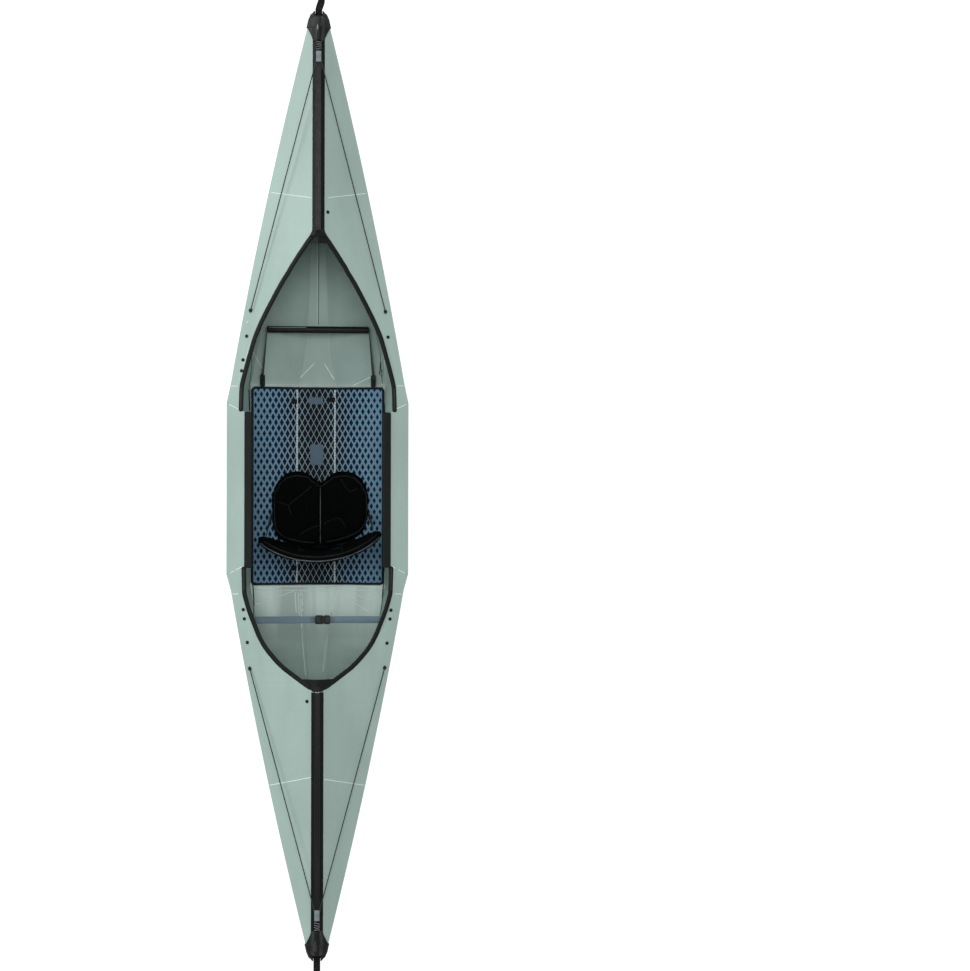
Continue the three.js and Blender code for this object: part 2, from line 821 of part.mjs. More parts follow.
function grabLoop(end) {
  const near = pinPlace(end);
  const far = { y: near.y + loop_length, z: near.z };
  const near_radius = pin_radius + pin_clearance + loop_thickness / 2;
  const path = loopPath(near, near_radius, far, loop_far_radius, loop_steps);
  return band(path, across_x, loop_width, loop_thickness, true);
}

// Ladder lock on the channel, with ribs across it
function ladderLock(end) {
  const high_y = channel_end_y - lock_setback;
  const low_y = high_y - lock_length;
  const pitch = lock_length / lock_rib_count;
  const outline = [[low_y, 0]];
  for (let i = 0; i < lock_rib_count; i += 1) {
    const start = low_y + i * pitch;
    const peak = lock_base_height + lock_rib_height;
    const [rise, fall, foot] = lock_rib_shares.map((share) => start + share * pitch);
    outline.push([start, lock_base_height], [rise, peak], [fall, peak], [foot, lock_base_height]);
  }
  outline.push([high_y, lock_base_height], [high_y, 0]);
  const ring = (x) => outline.map(([y, z]) => {
    return new THREE.Vector3(x, y, channelTop(end, y) + fit_gap + z);
  });
  return loft([ring(-lock_width / 2), ring(lock_width / 2)]);
}

// A loop of webbing from the ladder lock, with the bight of the deck cord inside its inner end.
function tensionStrap(end) {
  const lock_end = channel_end_y - lock_setback - lock_length;
  const radius = cord_diameter / 2 + fit_gap + strap_thickness / 2;
  const far_y = lock_end - fit_gap - radius - strap_thickness / 2;
  const near_y = lock_end - strap_length;
  const path = loopPath({ y: near_y, z: 0 }, radius, { y: far_y, z: 0 }, radius, loop_steps);
  const lift = fit_gap + strap_thickness / 2 + radius;
  const seated = path.map((p) => new THREE.Vector3(0, p.y, p.z + channelTop(end, p.y) + lift));
  return band(seated, across_x, strap_width, strap_thickness, true);
}

// A round section carried along a list of points.
function tube(points, radius, count) {
  const frames = points.map((p, i) => {
    const before = points[Math.max(0, i - 1)];
    const after = points[Math.min(points.length - 1, i + 1)];
    return after.clone().sub(before).normalize();
  });
  const up = new THREE.Vector3(0, 0, 1);
  const rings = points.map((p, i) => {
    const side = new THREE.Vector3().crossVectors(frames[i], up).normalize();
    const top = new THREE.Vector3().crossVectors(side, frames[i]);
    const ring = [];
    for (let k = 0; k < count; k += 1) {
      const angle = 2 * Math.PI * k / count;
      const point = p.clone().addScaledVector(side, radius * Math.cos(angle));
      ring.push(point.addScaledVector(top, radius * Math.sin(angle)));
    }
    return ring;
  });
  return loft(rings);
}

// Floor boards, folded where the keel panel meets the bilges

function floorLine(depth) {
  const s = section(0, depth);
  return [s.keel, s.chine];
}

function floorDepths() {
  const under = sheet + fit_gap;
  return [under, under + board_thickness];
}

function floorTop(x) {
  const [k, c] = floorLine(floorDepths()[1]);
  const beyond = Math.max(0, Math.abs(x) - k.x);
  return k.y + beyond * (c.y - k.y) / (c.x - k.x);
}

function floorBoards() {
  const [low, high] = floorDepths().map(floorLine);
  const centre = [low[0], high[0]].map((p) => new THREE.Vector2(p.x - crease_gap, p.y));
  const flip = (p) => new THREE.Vector2(-p.x, p.y);
  const centre_ring = [flip(centre[0]), centre[0], centre[1], flip(centre[1])];
  const reach = [low, high].map(([k, c]) => k.clone().lerp(c, board_reach_share));
  const start = [low, high].map(([k, c]) => toward(k, c, crease_gap));
  const side_ring = [start[0], reach[0], reach[1], start[1]];
  const long = (ring) => loft([-board_half_length, board_half_length].map((y) => ring.map((p) => at(p, y))));
  add("floor_board_centre", long(centre_ring), "floor");
  for (const side of sides) {
    add(`floor_board_${side.name}`, mirrored(long(side_ring), side.sign, 1), "floor");
  }
}

// Seat and backrest

// How far a place across the seat lies forward of the middle, on the backrest's inner curve.
// The backrest and the seat's rear edge are turned a little, and both stand off the centre line.
function rearCurve(x) {
  const r = backrest_inner_radius;
  return r - Math.sqrt(r * r - x * x) + seat_turn_share * x;
}

function turnedDirection(v) {
  return v.clone().applyAxisAngle(across_z, Math.atan(seat_turn_share));
}

function turnedPoint(p) {
  const pivot = new THREE.Vector3(0, seat_rear_y, 0);
  const point = turnedDirection(p.clone().sub(pivot)).add(pivot);
  point.x += seat_offset_x;
  return point;
}

function seatRing(x, share, front_share, rear_share) {
  const length = seat_front_y - seat_rear_y;
  const front = seat_front_y - front_share * length;
  const rear = seat_rear_y + rearCurve(x) + rear_share * length;
  const low = floorTop(x + seat_offset_x) + seat_clearance;
  const edge = seat_edge_drop * share ** seat_edge_power;
  const groove = share === 0 ? seat_groove : 0;
  const top = seat_top_height - edge - groove;
  const cut = Math.min(seat_chamfer, (top - low) * seat_chamfer_share);
  const profile = [
    [rear + cut, low], [front - cut, low], [front, low + cut / 2], [front, top - cut],
    [front - cut, top], [rear + cut, top], [rear, top - cut], [rear, low + cut / 2],
  ];
  return profile.map(([y, z]) => new THREE.Vector3(x + seat_offset_x, y, z));
}

function seatPad() {
  const right = seat_shares.map(([share, front, rear]) => {
    return seatRing(share * seat_width / 2, share, front, rear);
  });
  const left = seat_shares.slice(1).map(([share, front, rear]) => {
    return seatRing(-share * seat_width / 2, share, front, rear);
  });
  return loft([...left.reverse(), ...right]);
}

function backrestPoint(angle, radius, z) {
  const hinge_y = seat_rear_y - backrest_gap;
  const lean = backrest_lean_share * (z - backrest_foot_height);
  const y = hinge_y + backrest_inner_radius - radius * Math.cos(angle) - lean;
  return turnedPoint(new THREE.Vector3(radius * Math.sin(angle), y, z));
}

function backrestRing(turn, foot_share, top_share, thick_share) {
  const angle = turn * THREE.MathUtils.degToRad(backrest_half_angle_deg);
  const height = backrest_top_height - backrest_foot_height;
  const low = backrest_foot_height + foot_share * height;
  const top = backrest_top_height - top_share * height;
  const thick = backrest_thickness * thick_share;
  const near = backrest_inner_radius + (backrest_thickness - thick) / 2;
  const far = near + thick;
  const cut = Math.min(backrest_chamfer, thick * backrest_chamfer_share);
  const profile = [
    [near, low], [far - cut, low], [far, low + cut], [far, top - cut],
    [far - cut, top], [near + cut, top], [near, top - cut],
  ];
  return profile.map(([radius, z]) => backrestPoint(angle, radius, z));
}

function backrestPad() {
  const right = backrest_shares.map((row) => backrestRing(...row));
  const left = backrest_shares.slice(1).map(([turn, ...rest]) => backrestRing(-turn, ...rest));
  return loft([...left.reverse(), ...right]);
}

// Strap from the seat's side up to the end of the backrest.
function backrestStrap(sign) {
  const seat_x = sign * (seat_width / 2 + backrest_strap_gap + backrest_strap_thickness / 2);
  const low = new THREE.Vector3(seat_x + seat_offset_x, backrest_strap_seat_y, backrest_strap_seat_height);
  const angle = sign * Math.asin(backrest_strap_pad_x / (backrest_inner_radius + backrest_thickness / 2));
  const clear = backrest_inner_radius - backrest_strap_gap - backrest_strap_thickness / 2;
  const high = backrestPoint(angle, clear, backrest_strap_pad_height);
  const middle = low.clone().lerp(high, 0.5);
  const twist = new THREE.Vector3(0, backrest_strap_twist_share, 1);
  const across = [across_y, twist, across_z];
  const outboard = new THREE.Vector3(sign, 0, 0);
  const turn = new THREE.Vector3(sign, backrest_strap_turn_share, 0);
  const facing = turnedDirection(new THREE.Vector3(Math.sin(angle), -Math.cos(angle), 0));
  const normals = [outboard, turn, facing];
  return loft([low, middle, high].map((p, i) => {
    const side = across[i].clone().setLength(backrest_strap_width / 2);
    const face = normals[i].clone().setLength(backrest_strap_thickness / 2);
    return strapCorners(p, side, face);
  }));
}

// Footrest: a bar that lies across the bilges, with a strap at each end

// Height of the hull's inner surface above the bilge panel at a place.
function bilgeTop(x, y) {
  const s = section(y, sheet);
  return s.keel.y + (x - s.keel.x) * (s.chine.y - s.keel.y) / (s.chine.x - s.keel.x);
}

// Height of the side panel's inner face at a place, carried on below the chine.
function sideTop(x, y) {
  const s = section(y, sheet);
  return s.chine.y + (x - s.chine.x) * (s.gunwale.y - s.chine.y) / (s.gunwale.x - s.chine.x);
}

// The bar lies on the bilges, or higher where it is so long that its straps would meet the sides.
function footrestHeight() {
  const contact = footrest_length / 2 - footrest_end_radius;
  const on_bilges = bilgeTop(contact, footrest_y) + footrest_radius;
  const strap_face = footrest_length / 2 + fit_gap + footrest_strap_thickness;
  const strap_foot = sideTop(strap_face, footrest_y + footrest_strap_lap);
  return Math.max(on_bilges, strap_foot + footrest_strap_width / 2) + footrest_clearance;
}

function footrestBar() {
  const half = footrest_length / 2;
  const [r, e] = [footrest_radius, footrest_end_radius];
  const bevel = e * footrest_bevel_share;
  const profile = [[0, -half], [r - e, -half], [r - bevel, -half + bevel], [r, -half + e],
    [r, half - e], [r - bevel, half - bevel], [r - e, half], [0, half]];
  const points = profile.map(([x, y]) => new THREE.Vector2(x, y));
  const bar = mergeVertices(new THREE.LatheGeometry(points, round_sides));
  return bar.rotateZ(Math.PI / 2).translate(0, footrest_y, footrestHeight());
}

// The buckle stands on its lower edge on the bilge, just ahead of the floor, and leans outboard.
function buckleWidthway() {
  const lean = THREE.MathUtils.degToRad(footrest_buckle_lean_deg);
  return new THREE.Vector3(Math.cos(lean), 0, Math.sin(lean));
}

function footrestBucklePlace() {
  const reach = footrest_buckle_length / 2;
  const y = board_half_length + fit_gap + reach;
  const [run, rise] = [buckleWidthway().x, buckleWidthway().z];
  const height = (footrest_buckle_width * rise + footrest_buckle_thickness * run) / 2;
  const ground = bilgeTop(footrest_buckle_x, y + reach);
  return new THREE.Vector3(footrest_buckle_x, y, ground + height + fit_gap);
}

// Strap on edge, from the end of the bar aft to the buckle.
function footrestStrap() {
  const x = footrest_length / 2 + fit_gap + footrest_strap_thickness / 2;
  const z = footrestHeight();
  const reach = footrest_strap_lap;
  const path = [footrest_y + reach, footrest_y - reach].map((y) => new THREE.Vector3(x, y, z));
  const buckle = footrestBucklePlace();
  const end = buckle.clone().setY(buckle.y + footrest_buckle_length / 2 + fit_gap);
  path.push(path[1].clone().lerp(end, 0.5), end);
  const leaning = buckleWidthway();
  const across = [across_z, across_z, across_z.clone().add(leaning), leaning];
  return band(path, across, footrest_strap_width, footrest_strap_thickness);
}

// A flat block with cut corners, between two heights.
function plate(half_x, half_y, corner, low, high) {
  const outline = [
    [-half_x + corner, -half_y], [half_x - corner, -half_y], [half_x, -half_y + corner],
    [half_x, half_y - corner], [half_x - corner, half_y], [-half_x + corner, half_y],
    [-half_x, half_y - corner], [-half_x, -half_y + corner],
  ];
  return loft([low, high].map((z) => outline.map(([x, y]) => new THREE.Vector3(x, y, z))));
}

// A ladder lock as a plate with two slots and a bar between them.
function slottedPlate() {
  const [half_x, half_y] = [footrest_buckle_width / 2, footrest_buckle_length / 2];
  const half_z = footrest_buckle_thickness / 2;
  let solid = toSolid(plate(half_x, half_y, buckle_rim, -half_z, half_z));
  const slot = (half_y - buckle_rim - buckle_bar / 2) / 2;
  for (const direction of [-1, 1]) {
    const middle = direction * (buckle_bar / 2 + slot);
    const low = [-half_x + buckle_rim, middle - slot, -half_z - cut_overrun];
    const high = [half_x - buckle_rim, middle + slot, half_z + cut_overrun];
    solid = solid.subtract(toSolid(box(low, high)));
  }
  return toGeometry(solid);
}

function footrest() {
  add("footrest_bar", footrestBar(), "moulded");
  const place = footrestBucklePlace();
  const lean = THREE.MathUtils.degToRad(footrest_buckle_lean_deg);
  for (const side of sides) {
    add(`footrest_strap_${side.name}`, mirrored(footrestStrap(), side.sign, 1), "black_webbing");
    const buckle = add(`footrest_buckle_${side.name}`, slottedPlate(), "moulded");
    buckle.position.set(side.sign * place.x, place.y, place.z);
    buckle.rotation.set(0, -side.sign * lean, 0);
  }
}

// Cross strap behind the seat

// Inner face of the side panel at a height, where the strap's tab is riveted.
function topsideInner(y, z) {
  const s = section(-y, sheet);
  return lerp(s.chine.x, s.gunwale.x, (z - s.chine.y) / (s.gunwale.y - s.chine.y));
}

function crossStrapHalf(start_x) {
  const clear = (fit_gap + cross_thickness / 2) * Math.SQRT2;
  const aft_edge = cross_y + cross_width / 2;
  const low = topsideInner(aft_edge, cross_height - cross_tab) - clear;
  const top = topsideInner(aft_edge, cross_height) - clear;
  const points = [[low, cross_height - cross_tab], [top, cross_height]];
  for (let i = 1; i <= cross_steps; i += 1) {
    const share = i / cross_steps;
    const x = lerp(top, start_x, share);
    points.push([x, cross_height - cross_sag * (1 - (1 - share) ** 2)]);
  }
  const path = points.map(([x, z]) => new THREE.Vector3(x, -cross_y, z));
  return band(path, across_y, cross_width, cross_thickness);
}

function buckleBlock(low_x, high_x) {
  const half_z = buckle_thickness / 2;
  const block = plate((high_x - low_x) / 2, buckle_width / 2, buckle_corner, -half_z, half_z);
  return toSolid(block.translate((low_x + high_x) / 2, 0, 0));
}

function buckleJoint() {
  return lerp(-buckle_length / 2, buckle_length / 2, female_share);
}

function buckleFemale() {
  const joint = buckleJoint();
  const body = buckleBlock(-buckle_length / 2, joint);
  const [half_y, half_z] = [socket_width / 2, socket_height / 2];
  const socket = box([joint - socket_depth, -half_y, -half_z], [joint + cut_overrun, half_y, half_z]);
  const window_x = joint - socket_depth / 2;
  const window_low = [window_x - window_length / 2, -buckle_width / 2 - cut_overrun, -half_z];
  const window_high = [window_x + window_length / 2, buckle_width / 2 + cut_overrun, half_z];
  return toGeometry(body.subtract(toSolid(socket)).subtract(toSolid(box(window_low, window_high))));
}

function buckleMale() {
  const joint = buckleJoint() + fit_gap;
  const tip = joint - prong_length;
  const half_z = socket_height / 2 - prong_clearance;
  let body = buckleBlock(joint, buckle_length / 2);
  for (const place of [-prong_spread, 0, prong_spread]) {
    const low = [tip, place - prong_width / 2, -half_z];
    const high = [joint + buckle_bar, place + prong_width / 2, half_z];
    body = body.add(toSolid(box(low, high)));
  }
  return toGeometry(body);
}

function crossStrap() {
  for (const side of sides) {
    const end_x = buckle_length / 2 + fit_gap + side.sign * buckle_offset_x;
    add(`cross_strap_${side.name}`, mirrored(crossStrapHalf(end_x), side.sign, 1), "webbing");
  }
  const height = cross_height - cross_sag;
  add("buckle_female", buckleFemale(), "moulded").position.set(buckle_offset_x, -cross_y, height);
  add("buckle_male", buckleMale(), "moulded").position.set(buckle_offset_x, -cross_y, height);
}

// Deck cord, from a grommet near the gunwale up to the tension strap and back down the other side

// Right half of the route, from the gunwale to the bight on the centre line.
function cordRoute(end) {
  const foot = cord_foot_steps.map(([inboard, ahead, rise]) => {
    const [x, y] = [cord_foot_x - inboard, end.cord_foot_y + ahead];
    return new THREE.Vector3(x, y, deckZ(end, x, y) + rise);
  });
  const strap_end = channel_end_y - lock_setback - lock_length - strap_length;
  const rest = 2 * fit_gap + strap_thickness + cord_diameter / 2;
  const bight = cord_bight.map(([x, ahead]) => {
    return new THREE.Vector3(x, strap_end + ahead, channelTop(end, strap_end + ahead) + rest);
  });
  const run = [];
  for (let i = 1; i < cord_run_steps; i += 1) {
    run.push(foot[foot.length - 1].clone().lerp(bight[0], i / cord_run_steps));
  }
  return [...foot, ...run, ...bight];
}

function deckCord(end) {
  const right = cordRoute(end);
  const left = right.filter((p) => p.x > 0).map((p) => new THREE.Vector3(-p.x, p.y, p.z));
  return tube([...right, ...left.reverse()], cord_diameter / 2, cord_sides);
}

// Assembly

hullPanels("bow", foldStations(bow));
hullPanels("mid", midStations());
hullPanels("stern", foldStations(stern));
for (const side of sides) {
  add(`side_deck_${side.name}`, mirrored(sideDeck(), side.sign, 1), "sheet");
  add(`side_rail_${side.name}`, mirrored(sideRail(), side.sign, 1), "rubber");
}
for (const end of ends) {
  for (const side of sides) {
    const name = `${end.name}_${side.name}`;
    add(`deck_panel_${name}`, mirrored(deckPanel(end), side.sign, end.sign), "sheet");
    add(`coaming_trim_${name}`, mirrored(coamingTrim(end), side.sign, end.sign), "rubber");
  }
  const pin = pinPlace(end);
  const pin_half = fork_half + pin_ear_reach;
  const pieces = [
    ["deck_channel", deckChannel(end), "extrusion"],
    ["apex_plate", apexPlate(end), "moulded"],
    ["end_cap", endCap(end), "moulded"],
    ["handle_pin", pinShape(pin_radius, pin_half, pin), "steel"],
    ["grab_loop", grabLoop(end), "black_webbing"],
    ["ladder_lock", ladderLock(end), "moulded"],
    ["tension_strap", tensionStrap(end), "webbing"],
    ["deck_cord", deckCord(end), "black_webbing"],
  ];
  for (const [name, geometry, finish] of pieces) {
    add(`${name}_${end.name}`, mirrored(geometry, 1, end.sign), finish);
  }
}
floorBoards();
add("seat_pad", seatPad(), "pad");
add("backrest_pad", backrestPad(), "pad");
for (const side of sides) {
  add(`backrest_strap_${side.name}`, backrestStrap(side.sign), "black_webbing");
}
footrest();
crossStrap();

export default kayak;
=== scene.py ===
"""Looks of the folding kayak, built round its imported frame. +Y is the bow. Lengths are in metres."""
import json
import math

import bmesh
import bpy
from mathutils import Euler, Matrix, Vector
from mathutils.bvhtree import BVHTree


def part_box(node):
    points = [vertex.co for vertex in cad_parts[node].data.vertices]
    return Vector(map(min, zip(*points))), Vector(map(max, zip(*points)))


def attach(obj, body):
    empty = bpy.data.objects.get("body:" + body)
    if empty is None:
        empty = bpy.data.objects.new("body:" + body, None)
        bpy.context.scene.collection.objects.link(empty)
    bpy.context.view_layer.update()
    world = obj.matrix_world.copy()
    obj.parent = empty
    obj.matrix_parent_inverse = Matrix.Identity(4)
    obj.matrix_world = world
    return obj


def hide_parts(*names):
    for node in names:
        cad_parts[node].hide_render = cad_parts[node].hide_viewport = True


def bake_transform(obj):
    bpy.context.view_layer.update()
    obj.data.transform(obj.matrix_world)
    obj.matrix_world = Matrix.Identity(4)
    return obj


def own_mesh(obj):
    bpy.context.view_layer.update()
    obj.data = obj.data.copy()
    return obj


SIDES = {"left": -1, "right": 1}
ENDS = {"bow": 1, "stern": -1}
ACROSS, FORE, UP = Vector((1, 0, 0)), Vector((0, 1, 0)), Vector((0, 0, 1))

# Camera, from the photograph: straight above the boat, which stands left of the middle. Then the lamps,
# each with its place, target, size and power
CAMERA_PLACE = (0, 0.002, 8.0)
CAMERA_TURN = (0, math.radians(-4.947), math.radians(0.12))
CAMERA_LENS, CAMERA_SENSOR = 71.6, 36
PHOTO_WIDTH, PHOTO_HEIGHT = 970, 971
WORLD_LIGHT = 0.46
LAMPS = {"key": ((-8.5, 4.2, 3.6), (0, 0.6, 0.2), 4, 440), "overhead": ((-0.3, 2.2, 10.5), (0, 0.9, 0), 6, 430)}
FLOOR_REACH = 20

# Hull lines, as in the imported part. 1 is the bow, -1 the stern
SHEET = 0.005
BEAM, FOLD_BEAM, END_BEAM = 0.722, 0.686, 0.076
BULGE = 0.014
SHEER, SHEER_END = 0.275, 0.33
NEAR_FOLD, HULL_END = 0.416, 1.84
CHINE_BEAM, CHINE_END_BEAM = 0.556, 0.036
CHINE_Z, CHINE_END_Z = 0.042, 0.215
KEEL_WIDTH, KEEL_END_WIDTH, KEEL_END_Z = 0.156, 0.018, 0.134
KEEL_POWER, CHINE_POWER = 2.95, 1.75
KEEL_SHARES = [(0, 1), (0.1, 0.62), (0.25, 0.42), (0.53, 0.26), (1, 0)]
SIDE_SLOPE, APEX_SLOPE = 0.26, 0.44
SIDE_DECK_X = 0.264
CORNER = {1: 0.33, -1: 0.35}
OPENING_HALF = {1: 0.303, -1: 0.294}
CURVE_START = {1: 0.424, -1: 0.404}
CURVE_SHARE = {1: 0.31, -1: 0.6}
APEX = {1: 0.993, -1: 0.799}
APEX_HALF = 0.012
CHANNEL_END, CHANNEL_RISE = HULL_END - 0.085, 0.02

# Webbing, cords and the strap across the hull behind the seat
LOCK_END = CHANNEL_END - 0.043
STRAP_LENGTH, STRAP_WIDTH, STRAP_THICK = 0.04, 0.02, 0.0016
CLEARANCE = 0.0003
CORD_DIAMETER = 0.004
CORD_FOOT_X = 0.267
CORD_FOOT_Y = {1: 0.696, -1: 0.725}
CORD_FOOT = [(0, 0, 0.0023), (0.0015, 0.005, 0.0054), (0.004, 0.014, 0.007)]
CORD_BIGHT = [(0.0126, -0.0103), (0.013, -0.0052), (0.0115, -0.0002), (0.0084, 0.0037), (0.0044, 0.0059),
              (0, 0.0067)]
CORD_REST = 0.0006 + STRAP_THICK + CORD_DIAMETER / 2
CROSS_Y, CROSS_WIDTH, CROSS_THICK, CROSS_Z, CROSS_SAG, CROSS_TAB = 0.539, 0.028, 0.0018, 0.2, 0.01, 0.03
BUCKLE_X, BUCKLE_HALF, RELEASE = 0.02, 0.0303, 0.04
LOCK_TAIL, BACK_STRAP = 0.021, 0.024
LOOP_WIDTH, LOOP_THICK, LOOP_LEAN = 0.027, 0.002, {1: 0.0105, -1: 0.0}
PIN_WRAP, LOOP_REACH, LOOP_BEND = 0.0053, 0.08, 0.012
PLUG_RADIUS = 0.0085

# Floor mat
MAT_LENGTH = NEAR_FOLD - 0.009
MAT_THICK, MAT_LIFT = 0.008, 0.0003
MAT_REACH, MAT_CORNER, MAT_SQUARE = 0.985, 0.018, 0.002
MAT_FOLD_X = 0.0775
MAT_TOP = SHEET + MAT_LIFT + MAT_THICK
BINDING = 0.009
DIAMOND_ACROSS, DIAMOND_ALONG, DIAMOND_SHIFT = 0.0237, 0.0458, (0.0057, 0.0143)

# Seat and backrest, which stand a little askew. Their shares say how far each edge draws in along a half width
SEAT_X, SEAT_TURN = 0.011, math.atan(0.06)
SEAT_HALF, SEAT_FRONT, SEAT_REAR, SEAT_TOP = 0.197, 0.057, -0.248, 0.072
SEAT_SHARES = [(0, 0.155, 0), (0.05, 0.13, 0), (0.15, 0.085, 0), (0.3, 0.016, 0), (0.5, 0, 0),
               (0.7, 0.023, 0), (0.82, 0.08, 0.01), (0.92, 0.17, 0.05), (1, 0.3, 0.19)]
BACK_RADIUS, BACK_THICK, BACK_FOOT, BACK_TOP = 0.386, 0.034, 0.0575, 0.293
BACK_ANGLE, BACK_LEAN, BACK_GAP = math.radians(37.8), 0.105, 0.0005
BACK_TURN = math.atan(0.05)
BACK_MIDDLE = BACK_RADIUS + BACK_THICK / 2
BACK_SHARES = [(0, 0, 0, 1), (0.121, 0.015, 0.004, 1), (0.242, 0.03, 0.01, 1), (0.5, 0.085, 0.03, 1),
               (0.72, 0.14, 0.07, 1), (0.88, 0.23, 0.14, 0.92), (1, 0.36, 0.3, 0.6)]
BACK_SEAM_TURN, BACK_SEAM_HEIGHT = 0.34, 0.46
SEAT_ABOVE, SEAT_UPPER, SEAT_LOW = 0.12, SEAT_TOP - 0.03, 0.0012
SEAT_GROOVE, SEAT_GROOVE_WIDE = 0.0065, 0.0055
CLOTH = {"quality": 6, "mass": 0.25, "tension_stiffness": 25, "compression_stiffness": 25, "bending_stiffness": 0.6,
         "use_pressure": True, "shrink_min": -0.025, "vertex_group_mass": "held", "pin_stiffness": 1.0}
CLOTH_STEPS = 20

# Lines on the sheet in pixels of the photograph: piece, finish, width, height and the corners of each line
MARKS_PX = [
    ("deck_creases", "crease_white", 0.0032, 0.0008, [
        [(271, 192.5), (312, 197.8)], [(366, 193.5), (327.5, 197.7)],
        [(269.2, 785.4), (311.4, 777.4)], [(365.3, 785.4), (323.8, 779.3)],
        [(229.5, 386), (238.6, 386)], [(396.5, 386), (404.5, 386)],
        [(229.8, 594), (239, 594)], [(394.5, 594), (404.3, 594)],
        [(229, 404.3), (242, 411)], [(406.5, 404.3), (392, 411)],
        [(229.5, 573.5), (243, 566.2)], [(405.5, 573.5), (391.5, 566.2)],
        [(231, 365), (236, 360)], [(246, 323.4), (249, 320.5)]]),
    ("floor_creases", "crease_white", 0.0032, 0.0007, [
        [(294, 591), (255, 605)], [(337, 590), (359.4, 602.3)], [(340, 590), (372.5, 600.4)],
        [(337, 592), (368.7, 611.6)], [(338, 589), (331.4, 611.6)],
        [(314.5, 363), (300, 378)], [(324, 363), (334.5, 380)], [(352, 386), (373, 376)],
        [(252, 350), (263, 370)]]),
    ("floor_soft_creases", "crease_soft", 0.0048, 0.0006, [
        [(255, 586.2), (382, 586.2)], [(256, 590.4), (381, 590.4)], [(295, 592), (296.2, 613)],
        [(298.6, 592), (299.2, 616)], [(302, 592), (302.6, 612)], [(300.4, 590), (301.8, 628)]]),
    ("floor_faint_creases", "crease_faint", 0.0062, 0.0005, [
        [(301.8, 628), (303.2, 650), (305.3, 673), (306, 677)], [(331.4, 611.6), (325.8, 645), (323, 672)],
        [(317.8, 242), (317.4, 325)]]),
    # Painted shadow: a dark line along the seam down the middle of the bow floor
    ("floor_dark_creases", "crease_dark", 0.0036, 0.0009, [[(318.9, 242), (318.4, 325)]]),
    # Painted shadows: dark lines along the inner side walls, near the floor and under the flap edges
    ("side_lines", "dark_line", 0.0052, 0.0009, [
        [(251.1, 353), (251.8, 362), (251, 372), (249.7, 382.7), (248.9, 388)],
        [(381.2, 353), (380.6, 364), (379.7, 375)],
        [(381.4, 362), (382.1, 386.3), (384.2, 404), (385, 413)],
        [(251.5, 572), (253.2, 590), (254, 603), (253.3, 617)],
        [(384, 566), (383.4, 585), (382.2, 600), (380.7, 615)]]),
    # Painted shade: a dark strip along the mat's left edge at the bow end
    ("mat_hem", "mat_hem", 0.015, 0.0016, [[(248.9, 389), (249.2, 397), (249.6, 411)]]),
    # Painted highlights: pale lines along the right inner side wall
    ("side_shine", "crease_white", 0.0032, 0.0009, [[(381.9, 354), (381.6, 386)], [(384.6, 360), (385.6, 386)]]),
]
GROMMETS_PX = [
    (246.7, 336.2), (243, 359.9), (241.6, 370.8), (388, 337.2), (391, 361), (392, 371.8), (327.9, 212.2),
    (243.3, 609.7), (244.4, 618.8), (247.3, 642.5), (391, 610.2), (390, 619), (387, 643.2), (307.0, 701.5),
]
MAT_PATCHES_PX = [(308.5, 397.3, 323, 404.2), (310.2, 444.5, 323.4, 465)]
MAT_KEEPERS_PX = [(294.2, 401.5), (332.2, 399.8), (293.8, 568)]
SEAT_SEAMS_PX = [
    [(312, 486), (300, 496), (289, 505.5), (291.5, 514)], [(276.5, 501), (283, 503.5), (289, 505.5)],
    [(318.5, 525.5), (309, 529), (300, 534)], [(341, 479), (345.5, 487), (350.5, 491.5), (357.5, 488)],
    [(324, 523.5), (338, 518), (346, 527)],
]
TRIM_PX = {
    1: [(240.7, 411.5), (240.9, 404), (241.2, 395), (241.6, 387), (242.7, 381), (244.9, 372.3), (247.9, 361),
        (249.9, 354), (253.9, 340), (256.9, 332), (261.2, 322), (267.6, 309), (275.2, 294.5), (280.6, 284.5),
        (284.2, 278.5), (288, 272.5), (291.4, 266.5), (295.2, 260.5), (299, 254.5), (303, 248.5), (307, 242.5)],
    -1: [(243.6, 566.6), (243.7, 576), (244, 587), (244.3, 593.5), (245.3, 598), (247.2, 605), (249.4, 612.1),
         (252.1, 619.3), (254.9, 626.4), (257.7, 633.6), (260.8, 640), (264.6, 646.7), (268.8, 652.5),
         (272.2, 656.5), (275.6, 660.5), (279.5, 664.5), (283.8, 668.5), (289, 672.5), (294.2, 676.5)],
}
TRIM_HALF, TRIM_DEPTH, TRIM_SINK, TRIM_OFF = 0.0093, 0.0056, 0.0022, 0.00475
# The second value is how far from its nose the edging's lighter bead runs; that bead is a painted highlight
TRIM_NOSE, TRIM_SHINE_REACH = 0.008, 0.1
SEAM_SCREW_X, BEAD_X = 0.0176, 0.0042
RAIL_X, RAIL_SCREW_X, RAIL_SCREWS_Y = SIDE_DECK_X + 0.0105, SIDE_DECK_X + 0.017, (-0.3, 0.27)

# Thin shells over the caps and crowns, as (distance from the middle, half width)
NOSE_SHELL = [(1.809, 0.0448), (1.813, 0.0452), (1.82, 0.044), (1.829, 0.0412), (1.838, 0.0382), (1.846, 0.0352),
              (1.8515, 0.0332)]
PRONG_SHELL = [(1.8515, 0.0332), (1.857, 0.0316), (1.863, 0.0293), (1.869, 0.0265), (1.8745, 0.023),
               (1.879, 0.0195)]
PRONG_INNER = 0.0149
TAIL_SHELL = [(1.7535, 0.0236), (1.76, 0.024), (1.766, 0.0248), (1.774, 0.0275), (1.783, 0.0315),
              (1.793, 0.0362), (1.802, 0.0405), (1.809, 0.0435), (1.813, 0.0442)]
CROWNS = {1: [(0.979, 0.0375), (0.985, 0.034), (0.991, 0.0305), (0.997, 0.0272), (1.003, 0.0254), (1.0065, 0.0246)],
          -1: [(0.784, 0.055), (0.789, 0.046), (0.794, 0.037), (0.799, 0.029), (0.8035, 0.0225), (0.807, 0.019)]}
